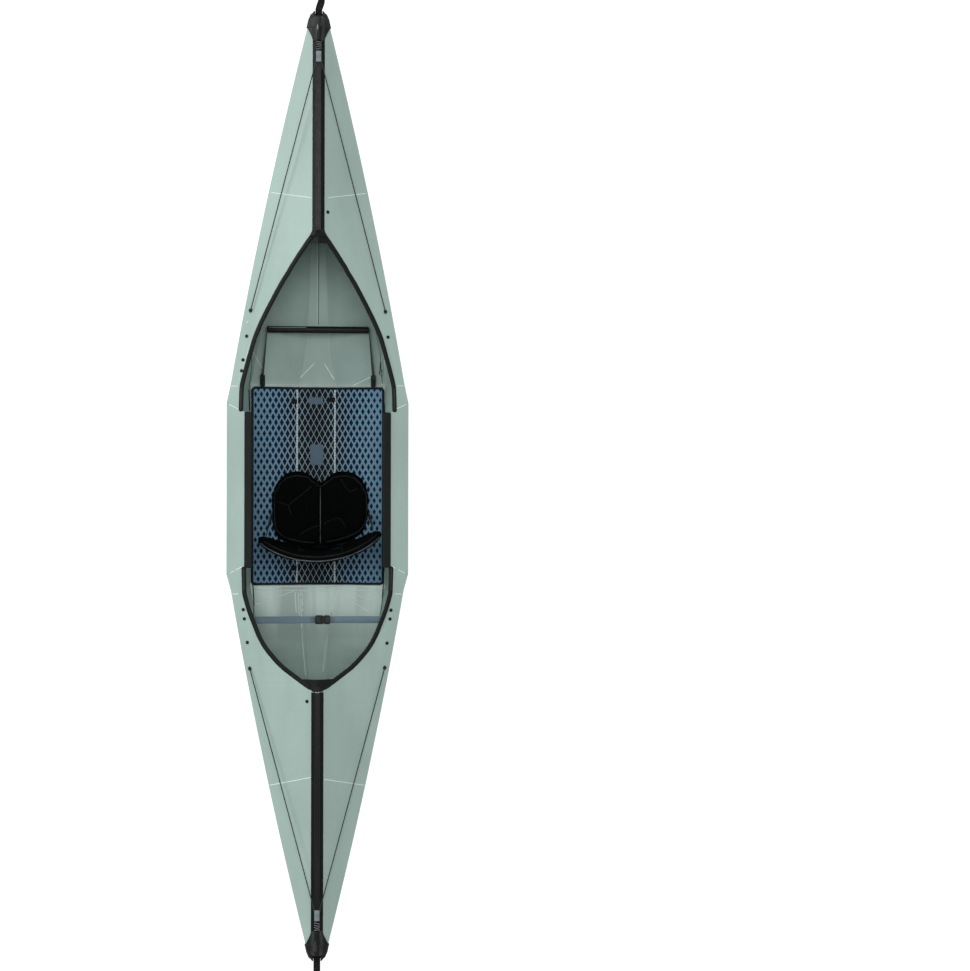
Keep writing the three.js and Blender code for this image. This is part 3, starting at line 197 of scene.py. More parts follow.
# Ribs on the caps' tops, lighter in colour as painted highlights
RIBS = {1: [(1.794, 0.0006), (1.8, 0.0021), (1.807, 0.0029), (1.813, 0.0027), (1.819, 0.0008)],
        -1: [(1.786, 0.0006), (1.793, 0.0033), (1.801, 0.0062), (1.812, 0.0078), (1.828, 0.008), (1.834, 0.0064)]}
RIB_X = {1: -0.0045, -1: -0.006}
LOCK_BARS_Y, LOCK_BAR_HALF = (1.7195, 1.7285, 1.737, 1.7455), 0.0108
CAP_SCREWS = ((1.785, 0.295), (1.785, 0.225), (1.83, 0.26))

# Small hardware, turned from (radius, height) profiles with a number of sides
PART_PROFILES = {
    "rivet": (14, [(0.0052, -0.0004), (0.0054, 0.0006), (0.0046, 0.0017), (0.0026, 0.0025), (0.0007, 0.0028)]),
    "grommet": (16, [(0.0068, -0.0003), (0.0071, 0.0007), (0.0058, 0.0019), (0.0036, 0.0017), (0.0026, 0.0006),
                     (0.001, 0.0002)]),
    "screw": (12, [(0.0042, -0.0004), (0.0044, 0.0007), (0.0036, 0.0016), (0.0017, 0.0018), (0.0013, 0.0008),
                   (0.0004, 0.0007)]),
}
STITCH_LENGTH, STITCH_WIDE, STITCH_HIGH = 0.0036, 0.00055, 0.00042
STITCH_PROFILE = ((-0.5, 0.12), (-0.42, 0.75), (-0.15, 1), (0.15, 1), (0.42, 0.75), (0.5, 0.12))

# Finishes. CAD_FINISHES are those whose name isn't their slot's
# The stern cap's darker plastic is painted shade: both caps are the same moulding
CAP_FINISHES = {"bow": "cap_plastic", "stern": "dark_cap"}
# The handle pins' dark steel is painted shade of the hollow at each cap's nose
CAD_FINISHES = {"floor_mat": "mat_foam", "pin_steel": "blued_steel"}
FLUTE_PITCH = 0.0048
MATERIALS, PARTS, TREES = {}, {}, {}

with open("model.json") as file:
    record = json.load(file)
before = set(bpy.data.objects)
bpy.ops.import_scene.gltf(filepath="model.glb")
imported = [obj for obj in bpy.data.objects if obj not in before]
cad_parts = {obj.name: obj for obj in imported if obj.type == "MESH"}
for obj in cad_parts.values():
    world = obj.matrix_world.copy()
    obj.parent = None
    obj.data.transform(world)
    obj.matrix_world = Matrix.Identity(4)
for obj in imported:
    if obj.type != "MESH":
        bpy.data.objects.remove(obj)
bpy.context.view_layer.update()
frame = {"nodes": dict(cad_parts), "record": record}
nodes = frame["nodes"]


# Camera, lamps and floor

def linked(name, data):
    """A new object in the scene."""
    obj = bpy.data.objects.new(name, data)
    bpy.context.collection.objects.link(obj)
    return obj


def make_camera():
    data = bpy.data.cameras.new("camera")
    data.lens, data.sensor_width = CAMERA_LENS, CAMERA_SENSOR
    camera = linked("camera", data)
    camera.location, camera.rotation_euler = CAMERA_PLACE, CAMERA_TURN
    bpy.context.scene.camera = camera


def make_studio():
    world = bpy.data.worlds.new("studio")
    bpy.context.scene.world = world
    world.use_nodes = True
    background = world.node_tree.nodes["Background"]
    background.inputs["Color"].default_value = (1, 1, 1, 1)
    background.inputs["Strength"].default_value = WORLD_LIGHT
    for name, (place, target, size, power) in LAMPS.items():
        data = bpy.data.lights.new(name, "AREA")
        data.shape, data.energy = "RECTANGLE", power
        data.size = data.size_y = size
        lamp = linked(name, data)
        lamp.location = place
        lamp.rotation_euler = (Vector(target) - Vector(place)).to_track_quat("-Z", "Y").to_euler()
        lamp.visible_camera = False
    view = bpy.context.scene.view_settings
    view.view_transform, view.look = "Standard", "None"
    corners = [(x * FLOOR_REACH, y * FLOOR_REACH, 0) for x, y in ((-1, -1), (1, -1), (1, 1), (-1, 1))]
    floor = new_object("studio_floor", corners, [(0, 1, 2, 3)], smooth=False)
    floor.data.materials.append(plain("floor_white", (150, 150, 150), 0.9, Emission_Color=(1, 1, 1, 1),
                                      Emission_Strength=0.9))


# Meshes

def lerp(a, b, t):
    return a + (b - a) * t


def circle(count):
    """Cosine and sine at even steps round a circle."""
    return [(math.cos(2 * math.pi * k / count), math.sin(2 * math.pi * k / count)) for k in range(count)]


def direction(points, i, closed=False):
    """Which way a line of points runs at one of them."""
    last = len(points) - 1
    ahead = (i + 1) % len(points) if closed else min(last, i + 1)
    return (points[ahead] - points[i - 1 if closed else max(0, i - 1)]).normalized()


def new_object(name, verts, faces, edges=(), smooth=True):
    mesh = bpy.data.meshes.new(name)
    mesh.from_pydata([tuple(v) for v in verts], list(edges), faces)
    mesh.validate()
    for face in mesh.polygons:
        face.use_smooth = smooth
    return linked(name, mesh)


def lofts(name, parts, closed=False, smooth=True):
    """One object out of several lofts, each a list of rings. Closed ones run round to their first ring."""
    verts, faces = [], []
    for rings in parts:
        base, size, count = len(verts), len(rings[0]), len(rings)
        verts += [p for ring in rings for p in ring]
        for i in range(count if closed else count - 1):
            here, ahead = base + i * size, base + (i + 1) % count * size
            for k in range(size):
                after = (k + 1) % size
                faces.append((here + k, here + after, ahead + after, ahead + k))
        if not closed:
            faces.append(tuple(base + k for k in reversed(range(size))))
            faces.append(tuple(len(verts) - size + k for k in range(size)))
    obj = new_object(name, verts, faces, smooth=smooth)
    bm = bmesh.new()
    bm.from_mesh(obj.data)
    bmesh.ops.recalc_face_normals(bm, faces=bm.faces)
    bm.to_mesh(obj.data)
    bm.free()
    return obj


def tube_rings(points, radius, sides=10, closed=False):
    rings = []
    for i, p in enumerate(points):
        along = direction(points, i, closed)
        side = along.cross(UP)
        side = side.normalized() if side.length > 1e-6 else ACROSS
        top = side.cross(along)
        rings.append([p + side * (radius * c) + top * (radius * s) for c, s in circle(sides)])
    return rings


def ribbon_rings(spots, width, height, sink=0.0002):
    """A low ridge along spots on a surface, each a place and a normal, or None where nothing was found."""
    spots = [spot for spot in spots if spot]
    rings = []
    places = [place for place, _ in spots]
    for i, (p, n) in enumerate(spots):
        side = direction(places, i).cross(n).normalized()
        half = width / 2 * (0.45 if i in (0, len(spots) - 1) else 1)
        rings.append([p - side * half - n * sink, p - side * half * 0.55 + n * height,
                      p + side * half * 0.55 + n * height, p + side * half - n * sink])
    return rings


def webbing_rings(path, across, width, thick, closed=False):
    """Rings of a woven tape with rounded selvedges along a path. across is its width's direction."""
    rings = []
    w, t = width / 2, thick / 2
    shape = [(w, 0), (w - t * 0.6, t), (w * 0.5, t * 1.06), (0, t * 0.94), (-w * 0.5, t * 1.06),
             (-w + t * 0.6, t), (-w, 0), (-w + t * 0.6, -t), (0, -t * 0.94), (w - t * 0.6, -t)]
    for i, p in enumerate(path):
        along = direction(path, i, closed)
        side = across[i] if isinstance(across, list) else across
        side = (side - along * side.dot(along)).normalized()
        face = along.cross(side).normalized()
        rings.append([p + side * a + face * b for a, b in shape])
    return rings


def rounded_outline(half_x, half_y, left, right):
    """Rectangle from its right side round. left and right are the radius and steps of the corners there."""
    points = []
    for i, (sx, sy) in enumerate(((1, 1), (-1, 1), (-1, -1), (1, -1))):
        corner, steps = right if sx > 0 else left
        for k in range(steps + 1):
            a = math.pi / 2 * (i + k / steps)
            points.append((sx * (half_x - corner) + corner * math.cos(a),
                           sy * (half_y - corner) + corner * math.sin(a)))
    return points


def slab_rings(half_x, half_y, corner, height, edge, place):
    """Rings of a flat piece with rounded corners and rounded edges. place maps (x, y, z) into the scene."""
    rings = []
    for inset, z in ((edge, 0), (edge * 0.3, edge * 0.3), (0, edge), (0, height - edge),
                     (edge * 0.3, height - edge * 0.3), (edge, height)):
        bend = (max(corner - inset, corner * 0.3), 5)
        rings.append([place(x, y, z) for x, y in rounded_outline(half_x - inset, half_y - inset, bend, bend)])
    return rings


def smooth_path(points, steps=4):
    """Catmull-Rom line through given points."""
    last = len(points) - 1
    path = []
    for i in range(last):
        a, b, c, d = (Vector(points[min(last, max(0, i + k))]) for k in (-1, 0, 1, 2))
        for j in range(steps):
            t = j / steps
            path.append(0.5 * (2 * b + (c - a) * t + (2 * a - 5 * b + 4 * c - d) * t * t
                               + (3 * b - a - 3 * c + d) * t ** 3))
    return path + [Vector(points[-1])]


def from_table(table, place, column):
    for low, high in zip(table, table[1:]):
        if place <= high[0]:
            t = (place - low[0]) / (high[0] - low[0])
            t = t * t * (3 - 2 * t) if column == 1 else t
            return lerp(low[column], high[column], t)
    return table[-1][column]


def finish_piece(obj, body, finish=None, replaced=()):
    """Says what a piece belongs to, when its body is a name. A body can also be the four values of a blend between two;
    these are not used, and such a piece only has its transform baked.
    """
    if finish:
        obj.data.materials.clear()
        obj.data.materials.append(MATERIALS[finish])
    if replaced:
        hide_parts(*replaced)
    if isinstance(body, str):
        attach(obj, body)
    else:
        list(body)
        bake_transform(obj)
    return obj


def piece(name, parts, body, slot, finish=None, replaced=(), **kind):
    """A finished piece out of lofts, in its slot's own finish unless another is given."""
    return finish_piece(lofts(name, parts, **kind), body, finish or slot, replaced)


def make_plain(obj):
    """Turns an object's modifiers into plain mesh."""
    bpy.context.view_layer.update()
    graph = bpy.context.evaluated_depsgraph_get()
    mesh = bpy.data.meshes.new_from_object(obj.evaluated_get(graph))
    old = obj.data
    obj.modifiers.clear()
    obj.data = mesh
    mesh.name = obj.name
    if old.users == 0:
        bpy.data.meshes.remove(old)
    for face in mesh.polygons:
        face.use_smooth = True
    return obj


# Hull lines

def end_share(y):
    return max(0, (abs(y) - NEAR_FOLD) / (HULL_END - NEAR_FOLD))


def sign_of(y):
    return -1 if y < 0 else 1


def gunwale(y):
    place, t, corner = abs(y), end_share(y), CORNER[sign_of(y)]
    z = lerp(SHEER, SHEER_END, (place / HULL_END) ** 2)
    if place <= NEAR_FOLD:
        turned = max(0, (place - corner) / (NEAR_FOLD - corner))
        return lerp(BEAM, FOLD_BEAM, turned) / 2, z
    return lerp(FOLD_BEAM, END_BEAM, t) / 2 + 4 * BULGE * t * (1 - t), z


def chine(y):
    t = end_share(y)
    return lerp(CHINE_BEAM, CHINE_END_BEAM, t) / 2, lerp(CHINE_Z, CHINE_END_Z, t ** CHINE_POWER)


def keel(y):
    t = end_share(y)
    share = 0
    for (t0, s0), (t1, s1) in zip(KEEL_SHARES, KEEL_SHARES[1:]):
        if t0 <= t <= t1:
            share = lerp(s0, s1, (t - t0) / (t1 - t0))
    return lerp(KEEL_END_WIDTH, KEEL_WIDTH, share) / 2, KEEL_END_Z * t ** KEEL_POWER


def bilge():
    """How far the bilge panel runs out and up amidships."""
    (keel_x, keel_z), (chine_x, chine_z) = keel(0), chine(0)
    return chine_x - keel_x, chine_z - keel_z


def deck_slope(y):
    s = sign_of(y)
    share = (abs(y) - CORNER[s]) / (APEX[s] - CORNER[s])
    return lerp(SIDE_SLOPE, APEX_SLOPE, min(1, max(0, share)))


def deck_z(x, y):
    edge_x, edge_z = gunwale(y)
    return edge_z + deck_slope(y) * (edge_x - abs(x))


def deck_normal(x, y):
    return Vector((math.copysign(deck_slope(y), x), 0, 1)).normalized()


def deck_point(x, y, lift=0):
    return Vector((x, y, deck_z(x, y))) + deck_normal(x, y) * lift


def coaming_half(end, y):
    """Half width of the cockpit opening at a distance y from the middle, towards one end."""
    if y <= CURVE_START[end]:
        return OPENING_HALF[end]
    u = (y - CURVE_START[end]) / (APEX[end] - CURVE_START[end])
    a = CURVE_SHARE[end]
    t = (math.sqrt(a * a + (1 - 2 * a) * u) - a) / (1 - 2 * a)
    return lerp(OPENING_HALF[end], APEX_HALF, t * t)


def channel_top(end, y):
    return deck_z(0.001, end * y) + CHANNEL_RISE


# Materials

def linear(rgb):
    shares = [value / 255 for value in rgb]
    return (*(c / 12.92 if c <= 0.04045 else ((c + 0.055) / 1.055) ** 2.4 for c in shares), 1)


def add_node(tree, kind, links=(), **values):
    """A new node. links gives its sockets a number or another node's output."""
    node = tree.nodes.new(kind)
    for key, value in values.items():
        setattr(node, key, value)
    for socket, source in dict(links).items():
        if hasattr(source, "is_linked"):
            tree.links.new(source, node.inputs[socket])
        else:
            node.inputs[socket].default_value = source
    return node


class Nodes:
    """A material's node tree, with short calls for what every material here uses."""

    def __init__(self, name, rgb, roughness, **sockets):
        self.material = bpy.data.materials.new(name)
        self.material.use_nodes = True
        self.tree = self.material.node_tree
        self.shader = self.tree.nodes["Principled BSDF"]
        self.rgb = rgb
        for socket, value in {"Base Color": linear(rgb), "Roughness": roughness, **sockets}.items():
            self.shader.inputs[socket.replace("_", " ")].default_value = value
        self.place = self.add("ShaderNodeTexCoord").outputs["Object"]

    def add(self, kind, links=(), **values):
        return add_node(self.tree, kind, links, **values)

    def axes(self):
        return self.add("ShaderNodeSeparateXYZ", {0: self.place}).outputs

    def math(self, operation, *values):
        return self.add("ShaderNodeMath", dict(enumerate(values)), operation=operation).outputs[0]

    def plus(self, a, b):
        return self.math("ADD", a, b)

    def minus(self, a, b):
        return self.math("SUBTRACT", a, b)

    def times(self, a, b):
        return self.math("MULTIPLY", a, b)

    def turns(self, value, pitch):
        """An angle that goes round once in every pitch."""
        return self.times(value, 2 * math.pi / pitch)

    def crossed(self, along, across):
        """Threads that slant both ways between two angles."""
        return self.times(self.math("SINE", self.plus(along, across)),
                          self.math("SINE", self.minus(along, across)))

    def noise(self, scale, detail=2.0, stretch=None):
        place = self.place
        if stretch:
            place = self.add("ShaderNodeMapping", {"Vector": place, "Scale": stretch}).outputs[0]
        return self.add("ShaderNodeTexNoise", {"Vector": place, "Scale": scale, "Detail": detail}).outputs["Fac"]

    def spread(self, value, low, high, to_low=0.0, to_high=1.0, smooth=False):
        links = {"Value": value, "From Min": low, "From Max": high, "To Min": to_low, "To Max": to_high}
        kind = "SMOOTHSTEP" if smooth else "LINEAR"
        return self.add("ShaderNodeMapRange", links, interpolation_type=kind).outputs[0]

    def mix(self, share, a, b):
        return self.add("ShaderNodeMix", {0: share, 6: a, 7: b}, data_type="RGBA").outputs[2]

    def tones(self, share, rgb, dark, light):
        """Between two shades of a colour."""
        return self.mix(share, linear([c * dark for c in rgb]), linear([min(255, c * light) for c in rgb]))

    def shades(self, share, dark, light):
        self.join("Base Color", self.tones(share, self.rgb, dark, light))

    def join(self, socket, value):
        self.tree.links.new(value, self.shader.inputs[socket])

    def rough(self, share, low, high):
        self.join("Roughness", self.spread(share, 0.3, 0.7, low, high))

    def bump(self, height, strength, distance, under=None):
        links = {"Height": height, "Strength": strength, "Distance": distance}
        if under is not None:
            links["Normal"] = under
        normal = self.add("ShaderNodeBump", links).outputs[0]
        self.join("Normal", normal)
        return normal


def plain(name, rgb, roughness, grain=0.0, scale=300, **sockets):
    n = Nodes(name, rgb, roughness, **sockets)
    n.shades(n.noise(9, 4), 0.93, 1.06)
    if grain:
        n.bump(n.noise(scale, 2), grain, 0.0006)
    return n.material


def sheet_material(name, rgb):
    """Twin-wall sheet: long flutes under a satin skin, with faint handling marks."""
    n = Nodes(name, rgb, 0.4, Specular_IOR_Level=0.35)
    x, _, z = n.axes()
    flute = n.math("SINE", n.turns(n.plus(n.math("ABSOLUTE", x), z), FLUTE_PITCH))
    scuff = n.noise(14, 6, (1, 0.25, 1))
    tone = n.plus(n.times(n.noise(1.6, 5), 0.55), n.times(scuff, 0.45))
    n.shades(n.spread(n.math("MULTIPLY_ADD", flute, 0.035, tone), 0.33, 0.67), 0.955, 1.03)
    n.rough(scuff, 0.34, 0.5)
    n.bump(flute, 0.1, 0.0003, n.bump(n.noise(700, 1), 0.04, 0.0003))
    return n.material


def floor_sheet_material(name, rgb, shade_rgb):
    """The same sheet underfoot, with painted light: a brighter tone amidships and just behind the mat, and painted
    shade in a darker tone towards both ends, under the decks.
    """
    n = Nodes(name, rgb, 0.45, Specular_IOR_Level=0.3)
    x, y, _ = n.axes()
    # Painted shade towards the bow and stern ends, painted light amidships
    bow_shade = n.spread(y, 0.36, 0.44, smooth=True)
    stern_shade = n.spread(y, -0.72, -0.4, 1, 0, True)
    tone = n.spread(n.math("MULTIPLY_ADD", n.noise(14, 6, (1, 0.25, 1)), 0.5, n.noise(2.2, 5)), 0.55, 0.95)
    streaks = n.spread(n.noise(11, 3, (1, 0.1, 1)), 0.42, 0.62)
    painted_bright_floor, painted_light_tone = n.tones(streaks, rgb, 0.9, 1.08), n.tones(tone, shade_rgb, 0.95, 1.07)
    n.join("Base Color", n.mix(n.math("MAXIMUM", bow_shade, stern_shade), painted_bright_floor, painted_light_tone))
    n.bump(n.math("SINE", n.turns(x, FLUTE_PITCH)), 0.08, 0.0003)
    return n.material


def webbing_material(name, rgb, pitch=0.0022):
    """Woven tape: slanted ribs both ways, with fuzz along them."""
    n = Nodes(name, rgb, 0.82, Sheen_Weight=0.06, Specular_IOR_Level=0.2)
    x, y, z = n.axes()
    weave = n.crossed(n.turns(n.plus(y, n.times(z, 0.9)), pitch), n.turns(x, pitch * 0.8))
    fuzz = n.noise(900, 3)
    n.shades(n.spread(n.plus(n.times(weave, 0.18), fuzz), 0.3, 0.75), 0.82, 1.14)
    n.bump(weave, 0.5, 0.0005, n.bump(fuzz, 0.25, 0.0003))
    return n.material


def cloth_material(name, rgb, pitch=0.0016):
    """Plain woven cover cloth: fine over-and-under threads with soft folds of tone."""
    n = Nodes(name, rgb, 0.8, Specular_IOR_Level=0.04)
    x, y, z = n.axes()
    weave = n.times(n.math("SINE", n.turns(x, pitch)), n.math("SINE", n.turns(n.plus(y, z), pitch)))
    cloud = n.noise(22, 5)
    n.shades(n.spread(n.math("MULTIPLY_ADD", weave, 0.12, cloud), 0.3, 0.7), 0.72, 1.3)
    n.rough(cloud, 0.68, 0.86)
    n.bump(weave, 0.35, 0.0004, n.bump(n.noise(60, 4), 0.12, 0.002))
    return n.material


def cord_material(name, rgb):
    """Braided cord: strands that cross round it."""
    n = Nodes(name, rgb, 0.7, Specular_IOR_Level=0.2)
    x, y, z = n.axes()
    braid = n.crossed(n.turns(y, 0.005), n.turns(n.plus(x, z), 0.0035))
    n.shades(n.spread(braid, -1, 1), 0.75, 1.3)
    n.bump(braid, 0.6, 0.0005)
    return n.material


def moulded_material(name, rgb, roughness=0.45):
    """Moulded plastic: fine grain, slight flow marks, worn edges."""
    n = Nodes(name, rgb, roughness, Specular_IOR_Level=0.2)
    n.shades(n.spread(n.noise(5, 4, (1, 0.15, 1)), 0.35, 0.65), 0.9, 1.16)
    n.rough(n.noise(40, 5), roughness - 0.08, roughness + 0.1)
    n.bump(n.noise(1200, 2), 0.12, 0.0003)
    return n.material


def extruded_material(name, edge, crown):
    """Extruded channel: near black at its sides, with a painted brownish highlight along the middle of its crown, in
    patches along its length.
    """
    n = Nodes(name, edge, 0.4, Specular_IOR_Level=0.2)
    # Painted highlight: a brownish colour along the crown, in patches
    painted_light_tone = n.spread(n.noise(7, 4, (1, 0.2, 1)), 0.38, 0.62, 0.25, 1)
    middle = n.spread(n.math("ABSOLUTE", n.axes()[0]), 0.004, 0.011, 1, 0, True)
    n.join("Base Color", n.mix(n.times(middle, painted_light_tone), linear(edge), linear(crown)))
    n.rough(n.noise(40, 5), 0.34, 0.5)
    n.bump(n.noise(900, 2, (1, 0.1, 1)), 0.15, 0.0003)
    return n.material


def rubber_material(name, rgb):
    n = Nodes(name, rgb, 0.5, Specular_IOR_Level=0.2)
    dust = n.noise(55, 5)
    n.shades(n.spread(dust, 0.35, 0.68), 0.85, 1.22)
    n.rough(dust, 0.46, 0.66)
    n.bump(n.noise(1500, 2), 0.14, 0.0003)
    return n.material


def steel_material(name, rgb):
    n = Nodes(name, rgb, 0.3, Metallic=1.0)
    brushed = n.noise(500, 3, (0.05, 1, 1))
    n.shades(brushed, 0.85, 1.08)
    n.bump(brushed, 0.15, 0.0002)
    return n.material


def foam_material(name, rgb):
    """Foam with a printed lattice of diamonds, small at the sides and nearly touching in the middle."""
    n = Nodes(name, rgb, 0.72, Specular_IOR_Level=0.15)
    x, y, _ = n.axes()
    u = n.times(n.plus(x, DIAMOND_SHIFT[0]), 1 / DIAMOND_ACROSS)
    v = n.times(n.plus(y, DIAMOND_SHIFT[1]), 1 / DIAMOND_ALONG)
    reach = n.math("MAXIMUM", n.math("PINGPONG", n.plus(u, v), 0.5), n.math("PINGPONG", n.minus(u, v), 0.5))
    side = n.math("ABSOLUTE", n.plus(x, 0.008))
    edge = n.minus(n.spread(side, 0.02, 0.26, 0.445, 0.262), reach)
    edge = n.plus(edge, n.times(n.minus(n.noise(140, 3), 0.5), 0.06))
    strip = n.math("ABSOLUTE", n.minus(side, MAT_FOLD_X))
    off_strip = n.spread(n.plus(strip, n.times(n.noise(210, 2), 0.0062)), 0.0058, 0.0068)
    dark = n.times(n.spread(edge, -0.02, 0.02, smooth=True), off_strip)
    middle = n.spread(side, 0.05, 0.16, 1, 0, True)
    base = n.mix(n.spread(n.noise(260, 3), 0.35, 0.65), linear((98, 134, 160)), linear((116, 153, 178)))
    base = n.mix(middle, base, linear((128, 150, 162)))
    beads = n.spread(n.math("PINGPONG", n.times(y, 1 / 0.012), 0.5), 0.1, 0.3, 0.35, 1)
    base = n.mix(n.times(n.minus(1.0, off_strip), beads), base, linear((196, 208, 214)))
    ink = n.mix(middle, linear((3, 17, 38)), linear((3, 9, 15)))
    n.join("Base Color", n.mix(dark, base, ink))
    n.bump(dark, -0.5, 0.0008, n.bump(n.noise(1600, 2), 0.2, 0.0003))
    return n.material


FINISHES = [
    (sheet_material, "hull_sheet", (162, 185, 177)),
    # Floor sheet: a painted bright tone amidships, and painted shade in a darker tone towards both ends
    (floor_sheet_material, "floor_sheet", (202, 220, 213), (146, 167, 161)),
    # Channel: near-black sides, and a brownish crown colour that is a painted highlight
    (extruded_material, "channel_plastic", (11, 17, 16), (46, 38, 39)),
    (foam_material, "mat_foam", (98, 127, 147)),
    # Dark steel for the handle pins, as painted shade
    (steel_material, "blued_steel", (62, 64, 66)),
    (rubber_material, "edge_rubber", (13, 20, 16)),
    # Lighter rubber for painted highlights: the edging's bead and the stern cap's rib
    (rubber_material, "edge_bead", (44, 46, 39)),
    # Dark colour for the painted shadow lines along the inner side walls
    (rubber_material, "dark_line", (22, 30, 28)),
    (moulded_material, "moulded_plastic", (15, 20, 19)),
    (moulded_material, "cap_plastic", (37, 38, 38), 0.5),
    # Darker copy of the cap plastic, as painted shade on the stern cap
    (moulded_material, "dark_cap", (20, 21, 21), 0.5),
    # Lighter grey of the buckle ribs is a painted highlight
    (moulded_material, "buckle_rib", (76, 82, 80), 0.4),
    # Pale grey for painted highlights on the footrest bar, the ladder lock bars and the bow cap rib
    (moulded_material, "worn_plastic", (128, 132, 130), 0.4),
    (moulded_material, "rivet_plastic", (20, 27, 25), 0.4),
    (webbing_material, "grey_webbing", (114, 135, 147)),
    (webbing_material, "black_webbing", (18, 21, 22)),
    (webbing_material, "pale_webbing", (140, 151, 154)),
    (webbing_material, "faint_strap", (62, 74, 70)),
    (webbing_material, "mat_binding", (20, 27, 34), 0.003),
    # Dark blue for the painted shade strip at the mat's edge
    (webbing_material, "mat_hem", (24, 38, 50), 0.003),
    (cloth_material, "seat_fabric", (3, 4, 4)),
    (cloth_material, "seat_piping", (70, 74, 76), 0.001),
    (cloth_material, "seat_rim", (28, 31, 32), 0.0012),
    (cloth_material, "seat_seam", (38, 42, 43), 0.001),
    (cord_material, "cord", (46, 54, 52)),
    (cord_material, "thread", (66, 84, 98)),
    (cord_material, "thread_dark", (52, 56, 58)),
    # White for the stress creases at the folds, and for painted highlight lines
    (plain, "crease_white", (234, 252, 246), 0.5),
    (plain, "crease_soft", (220, 240, 233), 0.5),
    (plain, "crease_faint", (178, 198, 192), 0.5),
    # Dark colour for the painted shadow along the floor seam
    (plain, "crease_dark", (86, 102, 98), 0.5),
    (plain, "mat_bare", (74, 98, 114), 0.7, 0.2, 900),
]


def make_materials():
    for make, name, *given in FINISHES:
        MATERIALS[name] = make(name, *given)


def dress_cad_nodes():
    slots = {part["node"]: part["material_slot"] for part in frame["record"]["subparts"]}
    for name, node in nodes.items():
        finish = CAD_FINISHES.get(slots[name], slots[name])
        # The keel and bilge panels take the floor sheet and its painted shade
        if name.startswith(("keel_panel", "bilge_panel")):
            finish = "floor_sheet"
        if name.startswith("end_cap"):
            finish = CAP_FINISHES[name.removeprefix("end_cap_")]
        node.data.materials.clear()
        node.data.materials.append(MATERIALS[finish])


# Laying pieces on surfaces

def camera_ray(px, py):
    """Where the camera stands, and its line of sight through a pixel of the photograph."""
    scale = CAMERA_SENSOR / (CAMERA_LENS * PHOTO_HEIGHT)
    aim = Vector(((px - PHOTO_WIDTH / 2) * scale, (PHOTO_HEIGHT / 2 - py) * scale, -1))
    return Vector(CAMERA_PLACE), (Euler(CAMERA_TURN).to_matrix() @ aim).normalized()


class Skin:
    """The surface of some objects, to find where a thin piece lies on it."""

    def __init__(self, *objects):
        verts, faces = [], []
        for obj in objects:
            base = len(verts)
            verts += [v.co for v in obj.data.vertices]
            faces += [[base + i for i in f.vertices] for f in obj.data.polygons]
        self.tree = BVHTree.FromPolygons(verts, faces)

    def hit(self, start, aim):
        place, normal, _, _ = self.tree.ray_cast(start, aim)
        if place is None:
            return None
        return place, -normal if normal.dot(aim) > 0 else normal

    def seen(self, px, py):
        return self.hit(*camera_ray(px, py))

    def under(self, x, y, z=1.0):
        return self.hit(Vector((x, y, z)), -UP)

    def seen_line(self, corners, step=1.2):
        """Points along a line of pixels, in stretches that stay on one surface."""
        found = []
        for (x0, y0), (x1, y1) in zip(corners, corners[1:]):
            count = max(2, int(math.hypot(x1 - x0, y1 - y0) / step))
            found += [self.seen(lerp(x0, x1, i / count), lerp(y0, y1, i / count)) for i in range(count + 1)]
        stretches = [[]]
        for spot in found:
            last = stretches[-1][-1] if stretches[-1] else None
            if spot is None or (last and (spot[0] - last[0]).length > 0.03):
                stretches.append([])
            if spot is None or (last and (spot[0] - last[0]).length < 1e-5):
                continue
            stretches[-1].append(spot)
        return [s for s in stretches if len(s) > 1]


def nodes_named(*starts):
    return [node for name, node in nodes.items() if name.startswith(starts)]


# What repeats: Geometry Nodes that set a part at points or along a line

def repeat_tree(along_line):
    """Sets Part on each point, or every Pitch along a line, with its Z on the attribute aim."""
    tree = bpy.data.node_groups.new("along_line" if along_line else "at_points", "GeometryNodeTree")
    for name, kind in (("Points", "Geometry"), ("Part", "Object"), ("Size", "Float"), ("Finish", "Material"),
                       ("Pitch", "Float")):
        tree.interface.new_socket(name, in_out="INPUT", socket_type=f"NodeSocket{kind}")
    tree.interface.new_socket("Geometry", in_out="OUTPUT", socket_type="NodeSocketGeometry")
    given = tree.nodes.new("NodeGroupInput").outputs
    points = given["Points"]

    def attribute(name):
        return add_node(tree, "GeometryNodeInputNamedAttribute", {"Name": name}, data_type="FLOAT_VECTOR").outputs[0]

    if along_line:
        curve = add_node(tree, "GeometryNodeMeshToCurve", {"Mesh": points})
        points = add_node(tree, "GeometryNodeResampleCurve", {"Curve": curve.outputs[0], "Length": given["Pitch"]},
                          mode="LENGTH").outputs[0]
        run = tree.nodes.new("GeometryNodeInputTangent").outputs[0]
    else:
        run = attribute("run")
    turn = add_node(tree, "FunctionNodeAxesToRotation", {0: attribute("aim"), 1: run},
                    primary_axis="Z", secondary_axis="X")
    part = add_node(tree, "GeometryNodeObjectInfo", {"Object": given["Part"]})
    size = add_node(tree, "ShaderNodeCombineXYZ", {i: given["Size"] for i in range(3)})
    copies = add_node(tree, "GeometryNodeInstanceOnPoints",
                      {"Points": points, "Instance": part.outputs["Geometry"], "Rotation": turn.outputs[0],
                       "Scale": size.outputs[0]})
    real = add_node(tree, "GeometryNodeRealizeInstances", {0: copies.outputs[0]})
    dressed = add_node(tree, "GeometryNodeSetMaterial", {"Geometry": real.outputs[0], "Material": given["Finish"]})
    add_node(tree, "NodeGroupOutput", {0: dressed.outputs[0]})
    return tree


